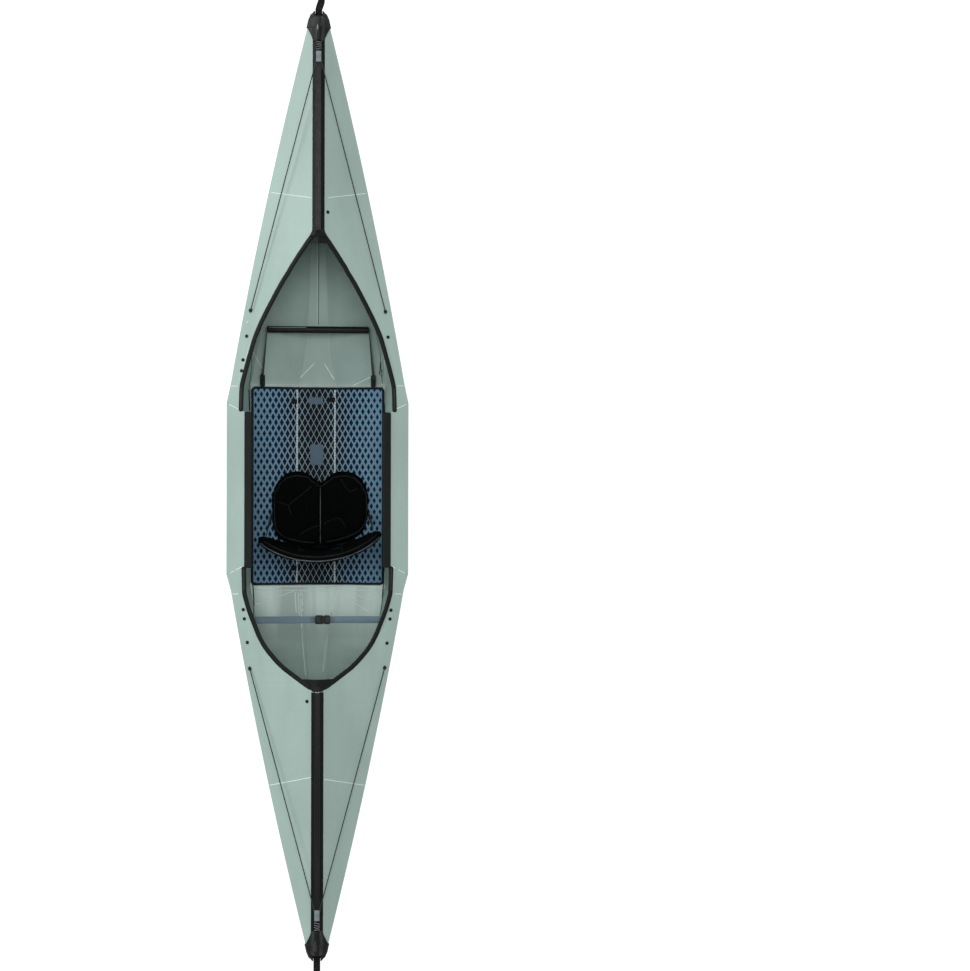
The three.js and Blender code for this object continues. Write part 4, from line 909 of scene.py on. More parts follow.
def repeated(name, spots, part, body, finish, pitch=None, size=1.0):
    """Copies of part at spots of (place, aim, run), or along the lines that spots lists, as one mesh."""
    along_line = pitch is not None
    verts, aims, runs, edges = [], [], [], []
    for line in spots if along_line else [spots]:
        base = len(verts)
        for place, aim, *run in line:
            verts.append(place)
            aims += list(aim)
            runs += list(run[0] if run else ACROSS)
        if along_line:
            edges += [(base + i, base + i + 1) for i in range(len(line) - 1)]
    obj = new_object(name, verts, [], edges)
    for label, values in (("aim", aims), ("run", runs)):
        obj.data.attributes.new(label, "FLOAT_VECTOR", "POINT").data.foreach_set("vector", values)
    if along_line not in TREES:
        TREES[along_line] = repeat_tree(along_line)
    modifier = obj.modifiers.new("repeat", "NODES")
    modifier.node_group = TREES[along_line]
    ids = {item.name: item.identifier for item in modifier.node_group.interface.items_tree
           if item.in_out == "INPUT"}
    for label, value in (("Part", PARTS[part]), ("Size", size), ("Finish", MATERIALS[finish]),
                         ("Pitch", pitch or 1.0)):
        modifier[ids[label]] = value
    return finish_piece(make_plain(obj), body)


def stitched(name, lines, body, pitch, thread="thread"):
    repeated(name, lines, "stitch", body, thread, pitch)


def fastened(name, found, part, body="hull", size=1.0):
    """Rivets, screws or grommets where they were found on a surface, each a place and a normal."""
    spots = [(*spot, FORE) for spot in found if spot]
    if spots:
        repeated(name, spots, part, body, "rivet_plastic", size=size)


def make_parts():
    for name, (sides, profile) in PART_PROFILES.items():
        rings = [[Vector((r * c, r * s, z)) for c, s in circle(sides)] for r, z in profile]
        PARTS[name] = lofts(f"part_{name}", [rings])
    rings = [[Vector((x * STITCH_LENGTH, STITCH_WIDE * r * c, STITCH_HIGH * r * s)) for c, s in circle(6)]
             for x, r in STITCH_PROFILE]
    PARTS["stitch"] = lofts("part_stitch", [rings])


def box_stitch(centre, along, across, face, half_long, half_wide):
    """Lines of a sewn box with a cross in it."""
    corners = [centre + along * (a * half_long) + across * (b * half_wide)
               for a, b in ((-1, -1), (1, -1), (1, 1), (-1, 1))]
    pairs = [(0, 1), (1, 2), (2, 3), (3, 0), (0, 2), (1, 3)]
    return [[(corners[a], face), (corners[b], face)] for a, b in pairs]


# Deck cords, each from one gunwale up through the tension strap and down to the other

def cord_route(end):
    foot = []
    for inboard, ahead, rise in CORD_FOOT:
        x, y = CORD_FOOT_X - inboard, CORD_FOOT_Y[end] + ahead
        foot.append(Vector((x, y, deck_z(x, end * y) + rise)))
    strap_end = LOCK_END - STRAP_LENGTH
    bight = [Vector((x, strap_end + ahead, channel_top(end, strap_end + ahead) + CORD_REST))
             for x, ahead in CORD_BIGHT]
    right = foot + [foot[-1].lerp(bight[0], i / 6) for i in range(1, 6)] + bight
    left = [Vector((-p.x, p.y, p.z)) for p in right if p.x > 0]
    return [Vector((p.x, end * p.y, p.z)) for p in right + left[::-1]]


def make_deck_cord(name, end):
    path = smooth_path(cord_route(end), 3)
    cord = piece(f"deck_cord_{name}_braid", [tube_rings(path, CORD_DIAMETER / 2)], "hull", "cord",
                 replaced=[f"deck_cord_{name}"])


def make_cord_eyelets(name, end):
    """An eyelet and a stopper knot where each end of the cord goes through the deck."""
    spots, knots = [], []
    for side in (-1, 1):
        x, y = side * CORD_FOOT_X, end * CORD_FOOT_Y[end]
        normal = deck_normal(x, y)
        spots.append((deck_point(x, y, 0.0003), normal))
        base = deck_point(x, y - end * 0.004, 0.0028)
        turns = []
        for i in range(40):
            a = 2 * math.pi * i / 40
            out = Vector((math.cos(2 * a), math.sin(2 * a), 0)) * (0.003 + 0.0013 * math.cos(3 * a))
            turns.append(base + out + normal * (0.0013 * math.sin(3 * a)))
        knots.append(tube_rings(turns, 0.0014, sides=6, closed=True))
    fastened(f"cord_eyelets_{name}", spots, "grommet", size=1.1)
    piece(f"cord_knots_{name}", knots, "hull", "cord", closed=True)


# Creases, grommets and other marks of the hull sheet, with lines of painted shadow and highlight

def make_marks(sheets):
    for name, finish, width, height, lines in MARKS_PX:
        parts = [ribbon_rings(stretch, width, height) for corners in lines for stretch in sheets.seen_line(corners)]
        piece(name, parts, "hull", "hull_sheet", finish)
    fastened("deck_grommets", [sheets.seen(*pixel) for pixel in GROMMETS_PX], "grommet")


def make_seam_screws():
    """Screws that close the channels over the seam, and hold the edge rails down."""
    spots = []
    for end, count in ((1, 5), (-1, 6)):
        for i in range(count):
            y = end * lerp(APEX[end] + 0.06, CHANNEL_END - 0.12, i / (count - 1))
            for side in (-1, 1):
                x = side * SEAM_SCREW_X
                spots.append((Vector((x, y, deck_z(x, y) + 0.0027)), deck_normal(x, y)))
    for side in (-1, 1):
        x = side * RAIL_SCREW_X
        for y in [lerp(*RAIL_SCREWS_Y, i / 5) for i in range(6)]:
            spots.append((deck_point(x, y, 0.0042), deck_normal(x, y)))
    fastened("seam_screws", spots, "screw", size=0.8)


def on_deck(px, py):
    """Where the camera's line through a pixel of the photograph meets the surface of the decks."""
    eye, aim = camera_ray(px, py)
    z = SHEER
    for _ in range(12):
        spot = eye + aim * ((z - eye.z) / aim.z)
        z = deck_z(spot.x, spot.y)
    return spot


def trim_line(end):
    """Middle line of the rubber edging as (distance off the centre line, distance from the middle)."""
    seen = [on_deck(*pixel) for pixel in TRIM_PX[end]]
    line = [Vector((abs(p.x), end * p.y, 0)) for p in seen]
    line = [line[0].lerp(line[1], t) for t in (0, 0.03, 0.08, 0.16, 0.28, 0.5)] + line[1:]
    start, spare = line[-1].y + 0.006, line[-1].x - coaming_half(end, line[-1].y) - TRIM_OFF
    for i in range(6):
        y = lerp(start, APEX[end] - 0.006, i / 5)
        line.append(Vector((coaming_half(end, y) + TRIM_OFF + spare * (1 - i / 5), y, 0)))
    return smooth_path(line, 3)


def make_trims():
    """The rubber edging round the cockpit, and a bead along its straight part, lighter in colour as a painted
    highlight.
    """
    beads = []
    for end_name, end in ENDS.items():
        line = trim_line(end)
        for side_name, side in SIDES.items():
            path = [deck_point(side * q.x, end * q.y) for q in line]
            rings, bead = [], []
            for i, (q, p) in enumerate(zip(line, path)):
                normal = deck_normal(side * q.x, end * q.y)
                across = direction(path, i).cross(normal).normalized()
                run = min(1, ((q - line[0]).length + 0.0004) / TRIM_NOSE)
                share = math.sqrt(1 - (1 - run) ** 2)
                ring = []
                for c, s in circle(18):
                    out = math.copysign(abs(c) ** 0.8, c) * TRIM_HALF * share
                    up = math.copysign(abs(s) ** 0.8, s) * TRIM_DEPTH * (0.5 + 0.5 * share)
                    ring.append(p + across * out + normal * (up - TRIM_SINK))
                rings.append(ring)
                # The bead's lighter colour is a painted highlight along the top of the edging
                if TRIM_NOSE < (q - line[0]).length < TRIM_SHINE_REACH:
                    bead.append((p + normal * (TRIM_DEPTH - TRIM_SINK - 0.0002), normal))
            label = f"{end_name}_{side_name}"
            piece(f"coaming_edging_{label}", [rings], "hull", "edge_rubber", replaced=[f"coaming_trim_{label}"])
            beads.append(ribbon_rings(bead, width=0.0062, height=0.0007))
    piece("coaming_edging_beads", beads, "hull", "edge_rubber", "edge_bead")


def make_deck_lips():
    """The decks' own edge where it runs in under the rubber edging."""
    parts = []
    for end in (1, -1):
        line = [q for q in trim_line(end) if coaming_half(end, q.y) + TRIM_OFF - q.x > 0.0012]
        for side in (-1, 1):
            rings = []
            for q in line:
                inner, outer = side * (q.x - 0.004), side * (coaming_half(end, q.y) + 0.0016)
                rings.append([deck_point(x, end * q.y, lift) for x, lift in
                              ((inner, 0.0002), (outer, 0.0002), (outer, -0.002), (inner, -0.0042))])
            parts.append(rings)
    piece("deck_lips", parts, "hull", "hull_sheet")


# Floor mat

def make_mat():
    board_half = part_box("floor_board_centre")[1][0]
    out, rise = bilge()
    for name, side in {"centre": 0, **SIDES}.items():
        if side == 0:
            middle, across, normal = Vector((0, 0, SHEET + MAT_LIFT)), ACROSS, UP
            width = 2 * board_half
        else:
            across = Vector((side * out, 0, rise)).normalized()
            normal = Vector((-across.z * side, 0, abs(across.x)))
            width = math.hypot(out, rise) * MAT_REACH - 0.0012
            low = Vector((side * float(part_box("floor_board_right")[0][0]), 0, SHEET + MAT_LIFT))
            middle = low + across * (width / 2 + 0.0006)
        half_x, half_y = width / 2 - 0.0008, MAT_LENGTH - 0.001

        def place(x, y, z):
            return middle + across * x + Vector((0, y, 0)) + normal * z

        rings = [[place(x, y, z) for x, y in mat_outline(half_x, half_y, side, inset)]
                 for inset, z in ((0.0015, 0), (0, 0.0012), (0, MAT_THICK - 0.0015), (0.0015, MAT_THICK))]
        board = piece(f"mat_{name}_foam", [rings], "hull", "floor_mat", "mat_foam", [f"floor_board_{name}"],
                      smooth=False)
        make_binding(name, side, half_x, half_y, place)


def mat_outline(half_x, half_y, side, inset=0.0):
    """A board's outline: the side boards have their outer corners rounded."""
    square = (MAT_SQUARE, 1)
    return rounded_outline(half_x - inset, half_y - inset, square, (MAT_CORNER - inset, 8) if side else square)


def make_binding(name, side, half_x, half_y, place):
    """Tape sewn over the mat's outer edge, with its stitches."""
    if side == 0:
        runs = [[(x, sy * half_y) for x in (-half_x, 0, half_x)] for sy in (1, -1)]
    else:
        keep = [p for p in mat_outline(half_x, half_y, side) if p[0] > 0]
        keep.sort(key=lambda p: math.atan2(p[1], p[0]))
        runs = [[(-half_x, -half_y)] + keep + [(-half_x, half_y)]]
    parts, stitch_lines = [], []
    for run in runs:
        rings, line = [], []
        points = fill_line(run, 0.02)
        for i, (x, y) in enumerate(points):
            along = direction([Vector(p) for p in points], i)
            out = Vector((along.y, -along.x))
            if out.dot(Vector((x, y))) < 0:
                out.negate()
            rings.append([place(x + out.x * a, y + out.y * a, z) for a, z in (
                (-BINDING, MAT_THICK + 0.0001), (-BINDING, MAT_THICK + 0.0007), (-0.002, MAT_THICK + 0.0012),
                (0.0005, MAT_THICK), (0.0008, MAT_THICK / 2), (0.0004, 0.0006), (0.0001, 0.0006),
                (0.0001, MAT_THICK - 0.0012), (-0.0018, MAT_THICK + 0.0001))])
            foot = place(x - out.x * 0.0068, y - out.y * 0.0068, MAT_THICK + 0.0009)
            line.append((foot, (place(0, 0, 1) - place(0, 0, 0)).normalized()))
        parts.append(rings)
        stitch_lines.append(line)
    piece(f"mat_{name}_binding", parts, "hull", "floor_mat", "mat_binding")
    stitched(f"mat_{name}_stitches", stitch_lines, "hull", 0.0062)


def fill_line(points, step):
    """The same line with points at most a step apart."""
    filled = [points[0]]
    for a, b in zip(points, points[1:]):
        count = max(1, math.ceil(math.hypot(b[0] - a[0], b[1] - a[1]) / step))
        filled += [(lerp(a[0], b[0], i / count), lerp(a[1], b[1], i / count)) for i in range(1, count + 1)]
    return filled


def make_mat_details(mat_skin):
    patches = []
    for x0, y0, x1, y1 in MAT_PATCHES_PX:
        low, high = mat_skin.seen(x0, y1)[0], mat_skin.seen(x1, y0)[0]
        middle = (low + high) / 2
        half = (high - low) / 2
        patches.append(slab_rings(half.x, half.y, corner=0.006, height=0.0013, edge=0.0005,
                                  place=lambda x, y, z: middle + Vector((x, y, z - 0.0002))))
    piece("mat_bare_patches", patches, "hull", "floor_mat", "mat_bare")
    out, rise = bilge()
    keepers = []
    for pixel in MAT_KEEPERS_PX:
        place, _ = mat_skin.seen(*pixel)
        path = []
        for i in range(13):
            a = math.pi * i / 12
            x = place.x - 0.0115 * math.cos(a)
            lift = max(0, abs(x) - MAT_FOLD_X) * (rise / out)
            path.append(Vector((x, place.y, MAT_TOP + lift + 0.0006 + 0.0026 * math.sin(a))))
        keepers.append(webbing_rings(path, FORE, width=0.019, thick=0.0014))
    piece("mat_keepers", keepers, "hull", "black_webbing")


# Padded pieces, filled by cloth simulation

def swell(obj, held, voxel, pressure, cap):
    """Remeshes a closed form, lets air pressure fill it, and keeps what held(point) names where it was."""
    remesh = obj.modifiers.new("remesh", "REMESH")
    remesh.mode, remesh.voxel_size = "VOXEL", voxel
    make_plain(obj)
    relax = obj.modifiers.new("relax", "SMOOTH")
    relax.factor, relax.iterations = 0.5, 3
    make_plain(obj)
    rest = [v.co.copy() for v in obj.data.vertices]
    group = obj.vertex_groups.new(name="held")
    for i, p in enumerate(rest):
        weight = held(p)
        if weight > 0:
            group.add([i], weight, "REPLACE")
    cloth = obj.modifiers.new("cloth", "CLOTH")
    for key, value in CLOTH.items():
        setattr(cloth.settings, key, value)
    cloth.settings.uniform_pressure_force = pressure
    cloth.settings.effector_weights.gravity = 0
    cloth.collision_settings.use_collision = False
    cloth.point_cache.frame_start, cloth.point_cache.frame_end = 1, CLOTH_STEPS
    for step in range(1, CLOTH_STEPS + 1):
        bpy.context.scene.frame_set(step)
    make_plain(obj)
    bpy.context.scene.frame_set(1)
    obj.vertex_groups.clear()
    for v, p in zip(obj.data.vertices, rest):
        move = v.co - p
        if move.length > cap:
            v.co = p + move * (cap / move.length)
    finer = obj.modifiers.new("finer", "SUBSURF")
    finer.levels = finer.render_levels = 1
    return make_plain(obj)


def lofted_pad(name, sections):
    """Closed form from sections, each a list of (top point, bottom point) pairs from rear to front."""
    return lofts(name, [[[top for top, _ in pairs] + [low for _, low in reversed(pairs)] for pairs in sections]])


def eased(j, count):
    """Steps from 0 to 1 that lie closer together at both ends."""
    return (1 - math.cos(math.pi * j / count)) / 2


def crowned(edge, reach):
    """Share of a pad's full thickness at a distance from its edge."""
    return math.sqrt(max(0.0, 1 - (1 - min(1, edge / reach)) ** 2))


def laid_tube(spots, radius, sink=0.3, sides=8):
    """A round piping along spots of a surface, partly sunk in it. A spot is None where nothing was found."""
    path = [spot[0] + spot[1] * (radius * (1 - 2 * sink)) for spot in spots if spot]
    smoothed = [path[0]] + [(a + b * 2 + c) / 4 for a, b, c in zip(path, path[1:], path[2:])] + [path[-1]]
    return tube_rings(smoothed, radius, sides)


def floor_top(x):
    out, rise = bilge()
    return MAT_TOP + max(0, abs(x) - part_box("floor_board_centre")[1][0]) * (rise / out)


def seat_edges(x):
    """Front and rear of the seat at a distance x from its own middle."""
    share, length = abs(x) / SEAT_HALF, SEAT_FRONT - SEAT_REAR
    curve = BACK_RADIUS - math.sqrt(BACK_RADIUS ** 2 - x * x) + math.tan(SEAT_TURN) * x
    return (SEAT_FRONT - from_table(SEAT_SHARES, share, 1) * length,
            SEAT_REAR + curve + from_table(SEAT_SHARES, share, 2) * length)


def make_seat():
    sections = []
    for i in range(37):
        u = math.sin(math.pi / 2 * (i / 18 - 1))
        x = u * (SEAT_HALF + 0.002)
        front, rear = seat_edges(x)
        front, rear = front + 0.004, rear - 0.003
        low = floor_top(x + SEAT_X) + SEAT_LOW
        pairs = []
        for j in range(29):
            v = eased(j, 28)
            y = lerp(rear, front, v)
            crown = crowned(min(y - rear, front - y, (1 - abs(u)) * SEAT_HALF * 1.25), 0.03)
            dish = 0.006 * (1 - min(1, ((abs(x) - 0.09) / 0.07) ** 2)) * math.sin(math.pi * v)
            ridge = 0.004 * min(1, (abs(x) / SEAT_HALF) ** 4)
            top = SEAT_TOP - 0.006 - dish - ridge
            waist = lerp(low, top, 0.42)
            pairs.append((Vector((x + SEAT_X, y, waist + (top - waist) * max(0.08, crown))),
                          Vector((x + SEAT_X, y, waist - (waist - low) * max(0.08, crown)))))
        sections.append(pairs)
    seat = lofted_pad("seat_cushion", sections)
    seam_points = [p for corners in SEAT_SEAMS_PX for stretch in Skin(seat).seen_line(corners, 0.8)
                   for p, _ in stretch]

    def held(p):
        if p.z < floor_top(p.x) + 0.006:
            return 1.0
        if abs(p.x - SEAT_X) < 0.0045 and p.z > SEAT_UPPER:
            return 1.0
        near = min(((p - q).xy.length for q in seam_points if abs(q.x - p.x) < 0.01), default=1)
        return 1.0 if near < 0.004 and p.z > SEAT_UPPER else 0.0

    swell(seat, held, voxel=0.0052, pressure=4.5, cap=0.009)
    for v in seat.data.vertices:
        off = v.co.x - SEAT_X
        if v.co.z > SEAT_UPPER and abs(off) < 0.02:
            v.co.z -= SEAT_GROOVE * math.exp(-(off / SEAT_GROOVE_WIDE) ** 2)
    finish_piece(seat, "seat", "seat_fabric", ["seat_pad"])
    make_seat_trim(Skin(seat))
    rings = []
    for i in range(31):
        x = lerp(-0.72, 0.72, i / 30) * SEAT_HALF
        rear, z = seat_edges(x)[1], floor_top(x + SEAT_X) + SEAT_LOW
        rings.append([Vector((x + SEAT_X, rear + forward, z + lift)) for forward, lift in
                      ((0.016, 0), (0.016, 0.0026), (-0.004, 0.0032), (-0.019, 0.0026), (-0.0196, 0))])
    piece("seat_flap", [rings], "seat", "seat_fabric", "seat_rim")


def make_seat_trim(skin):
    """Piping along the seat's seams, its middle and its rim."""
    seams = []
    for corners in SEAT_SEAMS_PX:
        line = [(p.x, p.y) for p in smooth_path([Vector((x, y, 0)) for x, y in corners], 5)]
        seams += [laid_tube(stretch, 0.0011) for stretch in skin.seen_line(line, 0.7) if len(stretch) > 3]
    piece("seat_seam_piping", seams, "seat", "seat_fabric", "seat_seam")

    front, rear = seat_edges(0)
    middle = [(SEAT_X, lerp(rear + 0.012, front - 0.01, i / 60)) for i in range(61)]
    spots = [skin.under(x, y, SEAT_ABOVE) for x, y in middle]
    piece("seat_middle_piping", [laid_tube(spots, 0.0021, sink=0.2)], "seat", "seat_fabric", "seat_piping")
    rim = []
    for side in (-1, 1):
        outline = []
        for i in range(70):
            u = math.sin(math.pi / 2 * (i / 69)) * 0.965
            front, _ = seat_edges(u * SEAT_HALF)
            outline.append((SEAT_X + side * (u * SEAT_HALF * 0.985), front - 0.0155 - 0.012 * u ** 6))
        front, rear = seat_edges(SEAT_HALF * 0.965)
        outline += [(SEAT_X + side * SEAT_HALF * 0.951, lerp(front - 0.024, rear + 0.024, i / 29))
                    for i in range(1, 30)]
        for i in range(1, 50):
            u = lerp(0.965, 0.12, i / 49)
            outline.append((SEAT_X + side * u * SEAT_HALF * 0.985, seat_edges(side * u * SEAT_HALF)[1] + 0.0175))
        rim.append(laid_tube([skin.under(x, y, SEAT_ABOVE) for x, y in outline], 0.0032, sides=10))
    piece("seat_rim_piping", rim, "seat", "seat_fabric", "seat_rim")


def back_point(angle, radius, z):
    lean = BACK_LEAN * (z - BACK_FOOT)
    p = Vector((radius * math.sin(angle), BACK_RADIUS - BACK_GAP - radius * math.cos(angle) - lean, 0))
    turned = Matrix.Rotation(BACK_TURN, 3, "Z") @ p
    return Vector((turned.x + SEAT_X, turned.y + SEAT_REAR, z))


def back_height(share, turn):
    """Height on the backrest between its foot and its top, at a share of its half width."""
    tall = BACK_TOP - BACK_FOOT
    foot = from_table(BACK_SHARES, abs(turn), 1) * tall
    top = tall * (1 - from_table(BACK_SHARES, abs(turn), 2))
    return BACK_FOOT + lerp(foot, top, share)


def make_backrest():
    sections = []
    for i in range(45):
        turn = math.sin(math.pi / 2 * (i / 22 - 1))
        angle = turn * BACK_ANGLE * 0.992
        thick = (BACK_THICK - 0.005) * from_table(BACK_SHARES, abs(turn), 3)
        foot, top = back_height(0, turn), back_height(1, turn)
        pairs = []
        for j in range(27):
            v = eased(j, 26)
            z = lerp(foot - 0.008, top - 0.002, v)
            edge = min(v * (top - foot), (1 - v) * (top - foot), (1 - abs(turn)) * 0.26)
            half = thick / 2 * max(0.1, crowned(edge, 0.022))
            pairs.append((back_point(angle, BACK_MIDDLE - half, z), back_point(angle, BACK_MIDDLE + half, z)))
        sections.append(pairs)
    back = lofted_pad("backrest_cushion", sections)
    swell(back, lambda p: 1.0 if p.z < BACK_FOOT + 0.012 or back_seam_distance(p) < 0.0042 else 0.0,
          voxel=0.0055, pressure=4.0, cap=0.006)
    finish_piece(back, "backrest", "seat_fabric", ["backrest_pad"])
    make_back_trim(Skin(back))


def back_seam_distance(p):
    """How far a point of the backrest is from its nearest seam."""
    local = Matrix.Rotation(-BACK_TURN, 3, "Z") @ (p - Vector((SEAT_X, SEAT_REAR, 0)))
    turn = math.atan2(local.x, BACK_RADIUS - local.y) / BACK_ANGLE
    across = abs(abs(turn) - BACK_SEAM_TURN) * BACK_ANGLE * BACK_RADIUS
    level = abs(p.z - back_height(BACK_SEAM_HEIGHT, turn))
    return min(across, level) if abs(turn) < BACK_SEAM_TURN else across


def make_back_trim(skin):
    """Piping along the backrest's seams, front and rear, and along its upper rim; the rear rim's pale grey is a painted
    highlight on the top edge.
    """
    turn = BACK_SEAM_TURN
    upright = [[(t, lerp(0.05, 0.93, i / 40)) for i in range(41)] for t in (-turn, turn)]
    level = [(lerp(-turn, turn, i / 40), BACK_SEAM_HEIGHT) for i in range(41)]
    piping = []
    for line, face in ((upright[0], -1), (upright[0], 1), (upright[1], -1), (upright[1], 1), (level, -1)):
        spots = []
        for t, share in line:
            start, stop = [back_point(t * BACK_ANGLE, BACK_MIDDLE + off, back_height(share, t))
                           for off in (face * 0.08, -face * 0.08)]
            spots.append(skin.hit(start, (stop - start).normalized()))
        piping.append(laid_tube(spots, 0.0013, sink=0.25))
    piece("backrest_seam_piping", piping, "backrest", "seat_fabric", "seat_seam")
    # The rear rim's pale grey is a painted highlight along the backrest's top edge
    for off, name, finish in ((-0.5, "backrest_front_rim", "seat_rim"), (0.62, "backrest_rear_rim", "seat_piping")):
        spots = []
        for i in range(81):
            t = lerp(-0.93, 0.93, i / 80)
            thick = (BACK_THICK - 0.006) * from_table(BACK_SHARES, abs(t), 3)
            start = back_point(t * BACK_ANGLE, BACK_MIDDLE + off * thick / 2, back_height(1, t)) + UP * 0.06
            spots.append(skin.hit(start, -UP))
        piece(name, [laid_tube(spots, 0.0028, sink=0.35, sides=10)], "backrest", "seat_fabric", finish)


def make_lumbar():
    """The small pad sewn to the foot of the backrest, over the seat's middle."""
    sections = []
    for i in range(21):
        u = i / 10 - 1
        pairs = []
        for j in range(17):
            v = eased(j, 16)
            crown = max(0.1, crowned(min(v, 1 - v, (1 - abs(u)) * 0.45), 0.22))
            pairs.append([back_point(u * 0.034 / BACK_RADIUS, BACK_RADIUS - 0.0055 - out, lerp(0.0825, 0.166, v))
                          for out in (0.013 * crown, 0)])
        sections.append(pairs)
    pad = lofted_pad("lumbar_cushion", sections)
    swell(pad, lambda p: 0.0, voxel=0.004, pressure=3.0, cap=0.004)
    finish_piece(pad, "backrest", "seat_fabric")


# Webbing and what it is sewn or threaded to

def cross_strap_path(side, side_skin):
    clear = (CLEARANCE + CROSS_THICK / 2) * math.sqrt(2)
    inner = [side_skin.hit(Vector((0, -CROSS_Y - CROSS_WIDTH / 2, z)), ACROSS * side)[0].x * side - clear
             for z in (CROSS_Z - CROSS_TAB, CROSS_Z)]
    end = BUCKLE_HALF + side * BUCKLE_X
    points = [(inner[0], CROSS_Z - CROSS_TAB), (lerp(*inner, 0.5), CROSS_Z - CROSS_TAB / 2),
              (inner[1] - 0.0002, CROSS_Z - 0.002)]
    points += [(lerp(inner[1], end, i / 12), CROSS_Z - CROSS_SAG * (1 - (1 - i / 12) ** 2)) for i in range(1, 13)]
    return [Vector((side * x, -CROSS_Y, z)) for x, z in points]


def make_cross_strap(side_skin):
    for name, side in SIDES.items():
        path = cross_strap_path(side, side_skin)
        strap = piece(f"cross_strap_{name}_webbing", [webbing_rings(path, FORE, CROSS_WIDTH, CROSS_THICK)], "hull",
                      "grey_webbing", replaced=[f"cross_strap_{name}"])
        if side > 0:
            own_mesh(strap)
        end = path[-1] - Vector((side * -0.014, 0, -CROSS_THICK / 2 - CLEARANCE))
        lines = [[(end + Vector((x, y, 0)), UP) for y in (-0.011, 0.011)] for x in (-0.004, 0.0, 0.004)]
        stitched(f"cross_strap_{name}_stitches", lines, "buckle_tongue" if side > 0 else "hull",
                 0.0042)
        place, normal = side_skin.hit(Vector((0, -CROSS_Y, CROSS_Z - 0.019)), ACROSS * side)
        fastened(f"cross_strap_{name}_rivets", [(place + normal * (CROSS_THICK + 0.0012), normal)], "rivet")


def make_buckle_ribs():
    """Grip ribs on both halves of the side-release buckle, lighter grey as painted highlights."""
    low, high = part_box("buckle_male")
    socket_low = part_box("buckle_female")[0]
    for body, start, step in (("buckle_tongue", high[0] - 0.006, -0.0036), ("hull", socket_low[0] + 0.006, 0.0036)):
        parts = []
        for x in [start + i * step for i in range(4)]:
            for end, z in ((1, high[2]), (-1, low[2])):
                parts.append([[Vector((x + dx * fade, -CROSS_Y + y, z + end * dz * fade)) for dx, dz in
                               ((-0.001, -0.0003), (-0.0005, 0.0008), (0.0005, 0.0008), (0.001, -0.0003))]
                              for y, fade in ((-0.012, 0.3), (-0.011, 1), (0, 1), (0.011, 1), (0.012, 0.3))])
        piece(f"buckle_ribs_{body}", parts, body, "moulded_plastic", "buckle_rib")


def make_footrest():
    """The straps of the footrest, what is threaded in their locks, the plugs of its bar, and a pale strip along the bar
    that is a painted highlight.
    """
    bar_low, bar_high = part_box("footrest_bar")
    y, z = (bar_low[1] + bar_high[1]) / 2, (bar_low[2] + bar_high[2]) / 2
    for name, side in SIDES.items():
        low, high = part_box(f"footrest_buckle_{name}")
        lock = Vector([(a + b) / 2 for a, b in zip(low, high)])
        x = side * (bar_high[0] + 0.0011)
        bend = Vector((x, y - 0.01, z))
        end = Vector((lock.x, float(high[1]) + CLEARANCE, lock.z))
        path = [Vector((x, y + 0.01, z)), bend] + [bend.lerp(end, i / 8) for i in range(1, 9)]
        lean = Vector((side * math.cos(math.radians(62)), 0, math.sin(math.radians(62))))
        across = [UP, UP] + [UP.lerp(lean, i / 8) for i in range(1, 9)]
        piece(f"footrest_strap_{name}_webbing", [webbing_rings(path, across, STRAP_WIDTH, STRAP_THICK)],
              ("hull", "footrest", end, bend), "black_webbing", "faint_strap", [f"footrest_strap_{name}"])
        inward = Vector((-lean.z * side, 0, abs(lean.x)))
        threaded = []
        for i in range(15):
            y_here = lerp(float(high[1]) - 0.001, float(low[1]) + 0.004, i / 14)
            threaded.append(Vector((lock.x, y_here, lock.z)) + inward * (0.0034 + 0.0012 * math.sin(math.pi * i / 7)))
        piece(f"footrest_tail_{name}", [webbing_rings(threaded, lean, LOCK_TAIL, STRAP_THICK)], "hull", "black_webbing")
        plug = [[Vector((side * (bar_high[0] - 0.0004 + out * 0.7), y + PLUG_RADIUS * share * c,
                         z + PLUG_RADIUS * share * s))
                 for c, s in circle(20)] for out, share in
                ((-0.0004, 1), (0.0006, 1), (0.001, 0.86), (0.0008, 0.4), (0.0002, 0.3), (0.0001, 0.05))]
        piece(f"footrest_plug_{name}", [plug], "footrest", "moulded_plastic", "rivet_plastic")
    # A pale strip along the top of the bar, a painted highlight
    skin = Skin(nodes["footrest_bar"])
    left, ahead = float(bar_low[0]), float(bar_high[1]) - 0.006
    spots = [skin.under(lerp(left + 0.003, left + 0.16, i / 20), ahead) for i in range(21)]
    piece("footrest_shine", [ribbon_rings(spots, width=0.0042, height=0.0005)], "footrest", "moulded_plastic",
          "worn_plastic")


def make_backrest_straps():
    for name, side in SIDES.items():
        low = Vector((side * (SEAT_HALF + 0.0012) + SEAT_X, -0.12, 0.055))
        angle = side * math.asin(0.226 / BACK_MIDDLE)
        high = back_point(angle, BACK_RADIUS - 0.0012, 0.19)
        face = Matrix.Rotation(BACK_TURN, 3, "Z") @ Vector((math.sin(angle), -math.cos(angle), 0))
        path, across = [], []
        for i in range(17):
            t = i / 16
            path.append(low.lerp(high, t) + Vector((side * 0.002, 0, -0.003)) * math.sin(math.pi * t))
            across.append(Vector((0, 1 - t, 0)) + Vector((0, 0.35 * math.sin(math.pi * t), t)))
        piece(f"backrest_strap_{name}_webbing", [webbing_rings(path, across, BACK_STRAP, STRAP_THICK)],
              ("seat", "backrest", low, high), "black_webbing", replaced=[f"backrest_strap_{name}"])
        make_strap_patch(name, "backrest", high, face, UP)
        make_strap_patch(name, "seat", low, Vector((-side, 0, 0)), FORE)


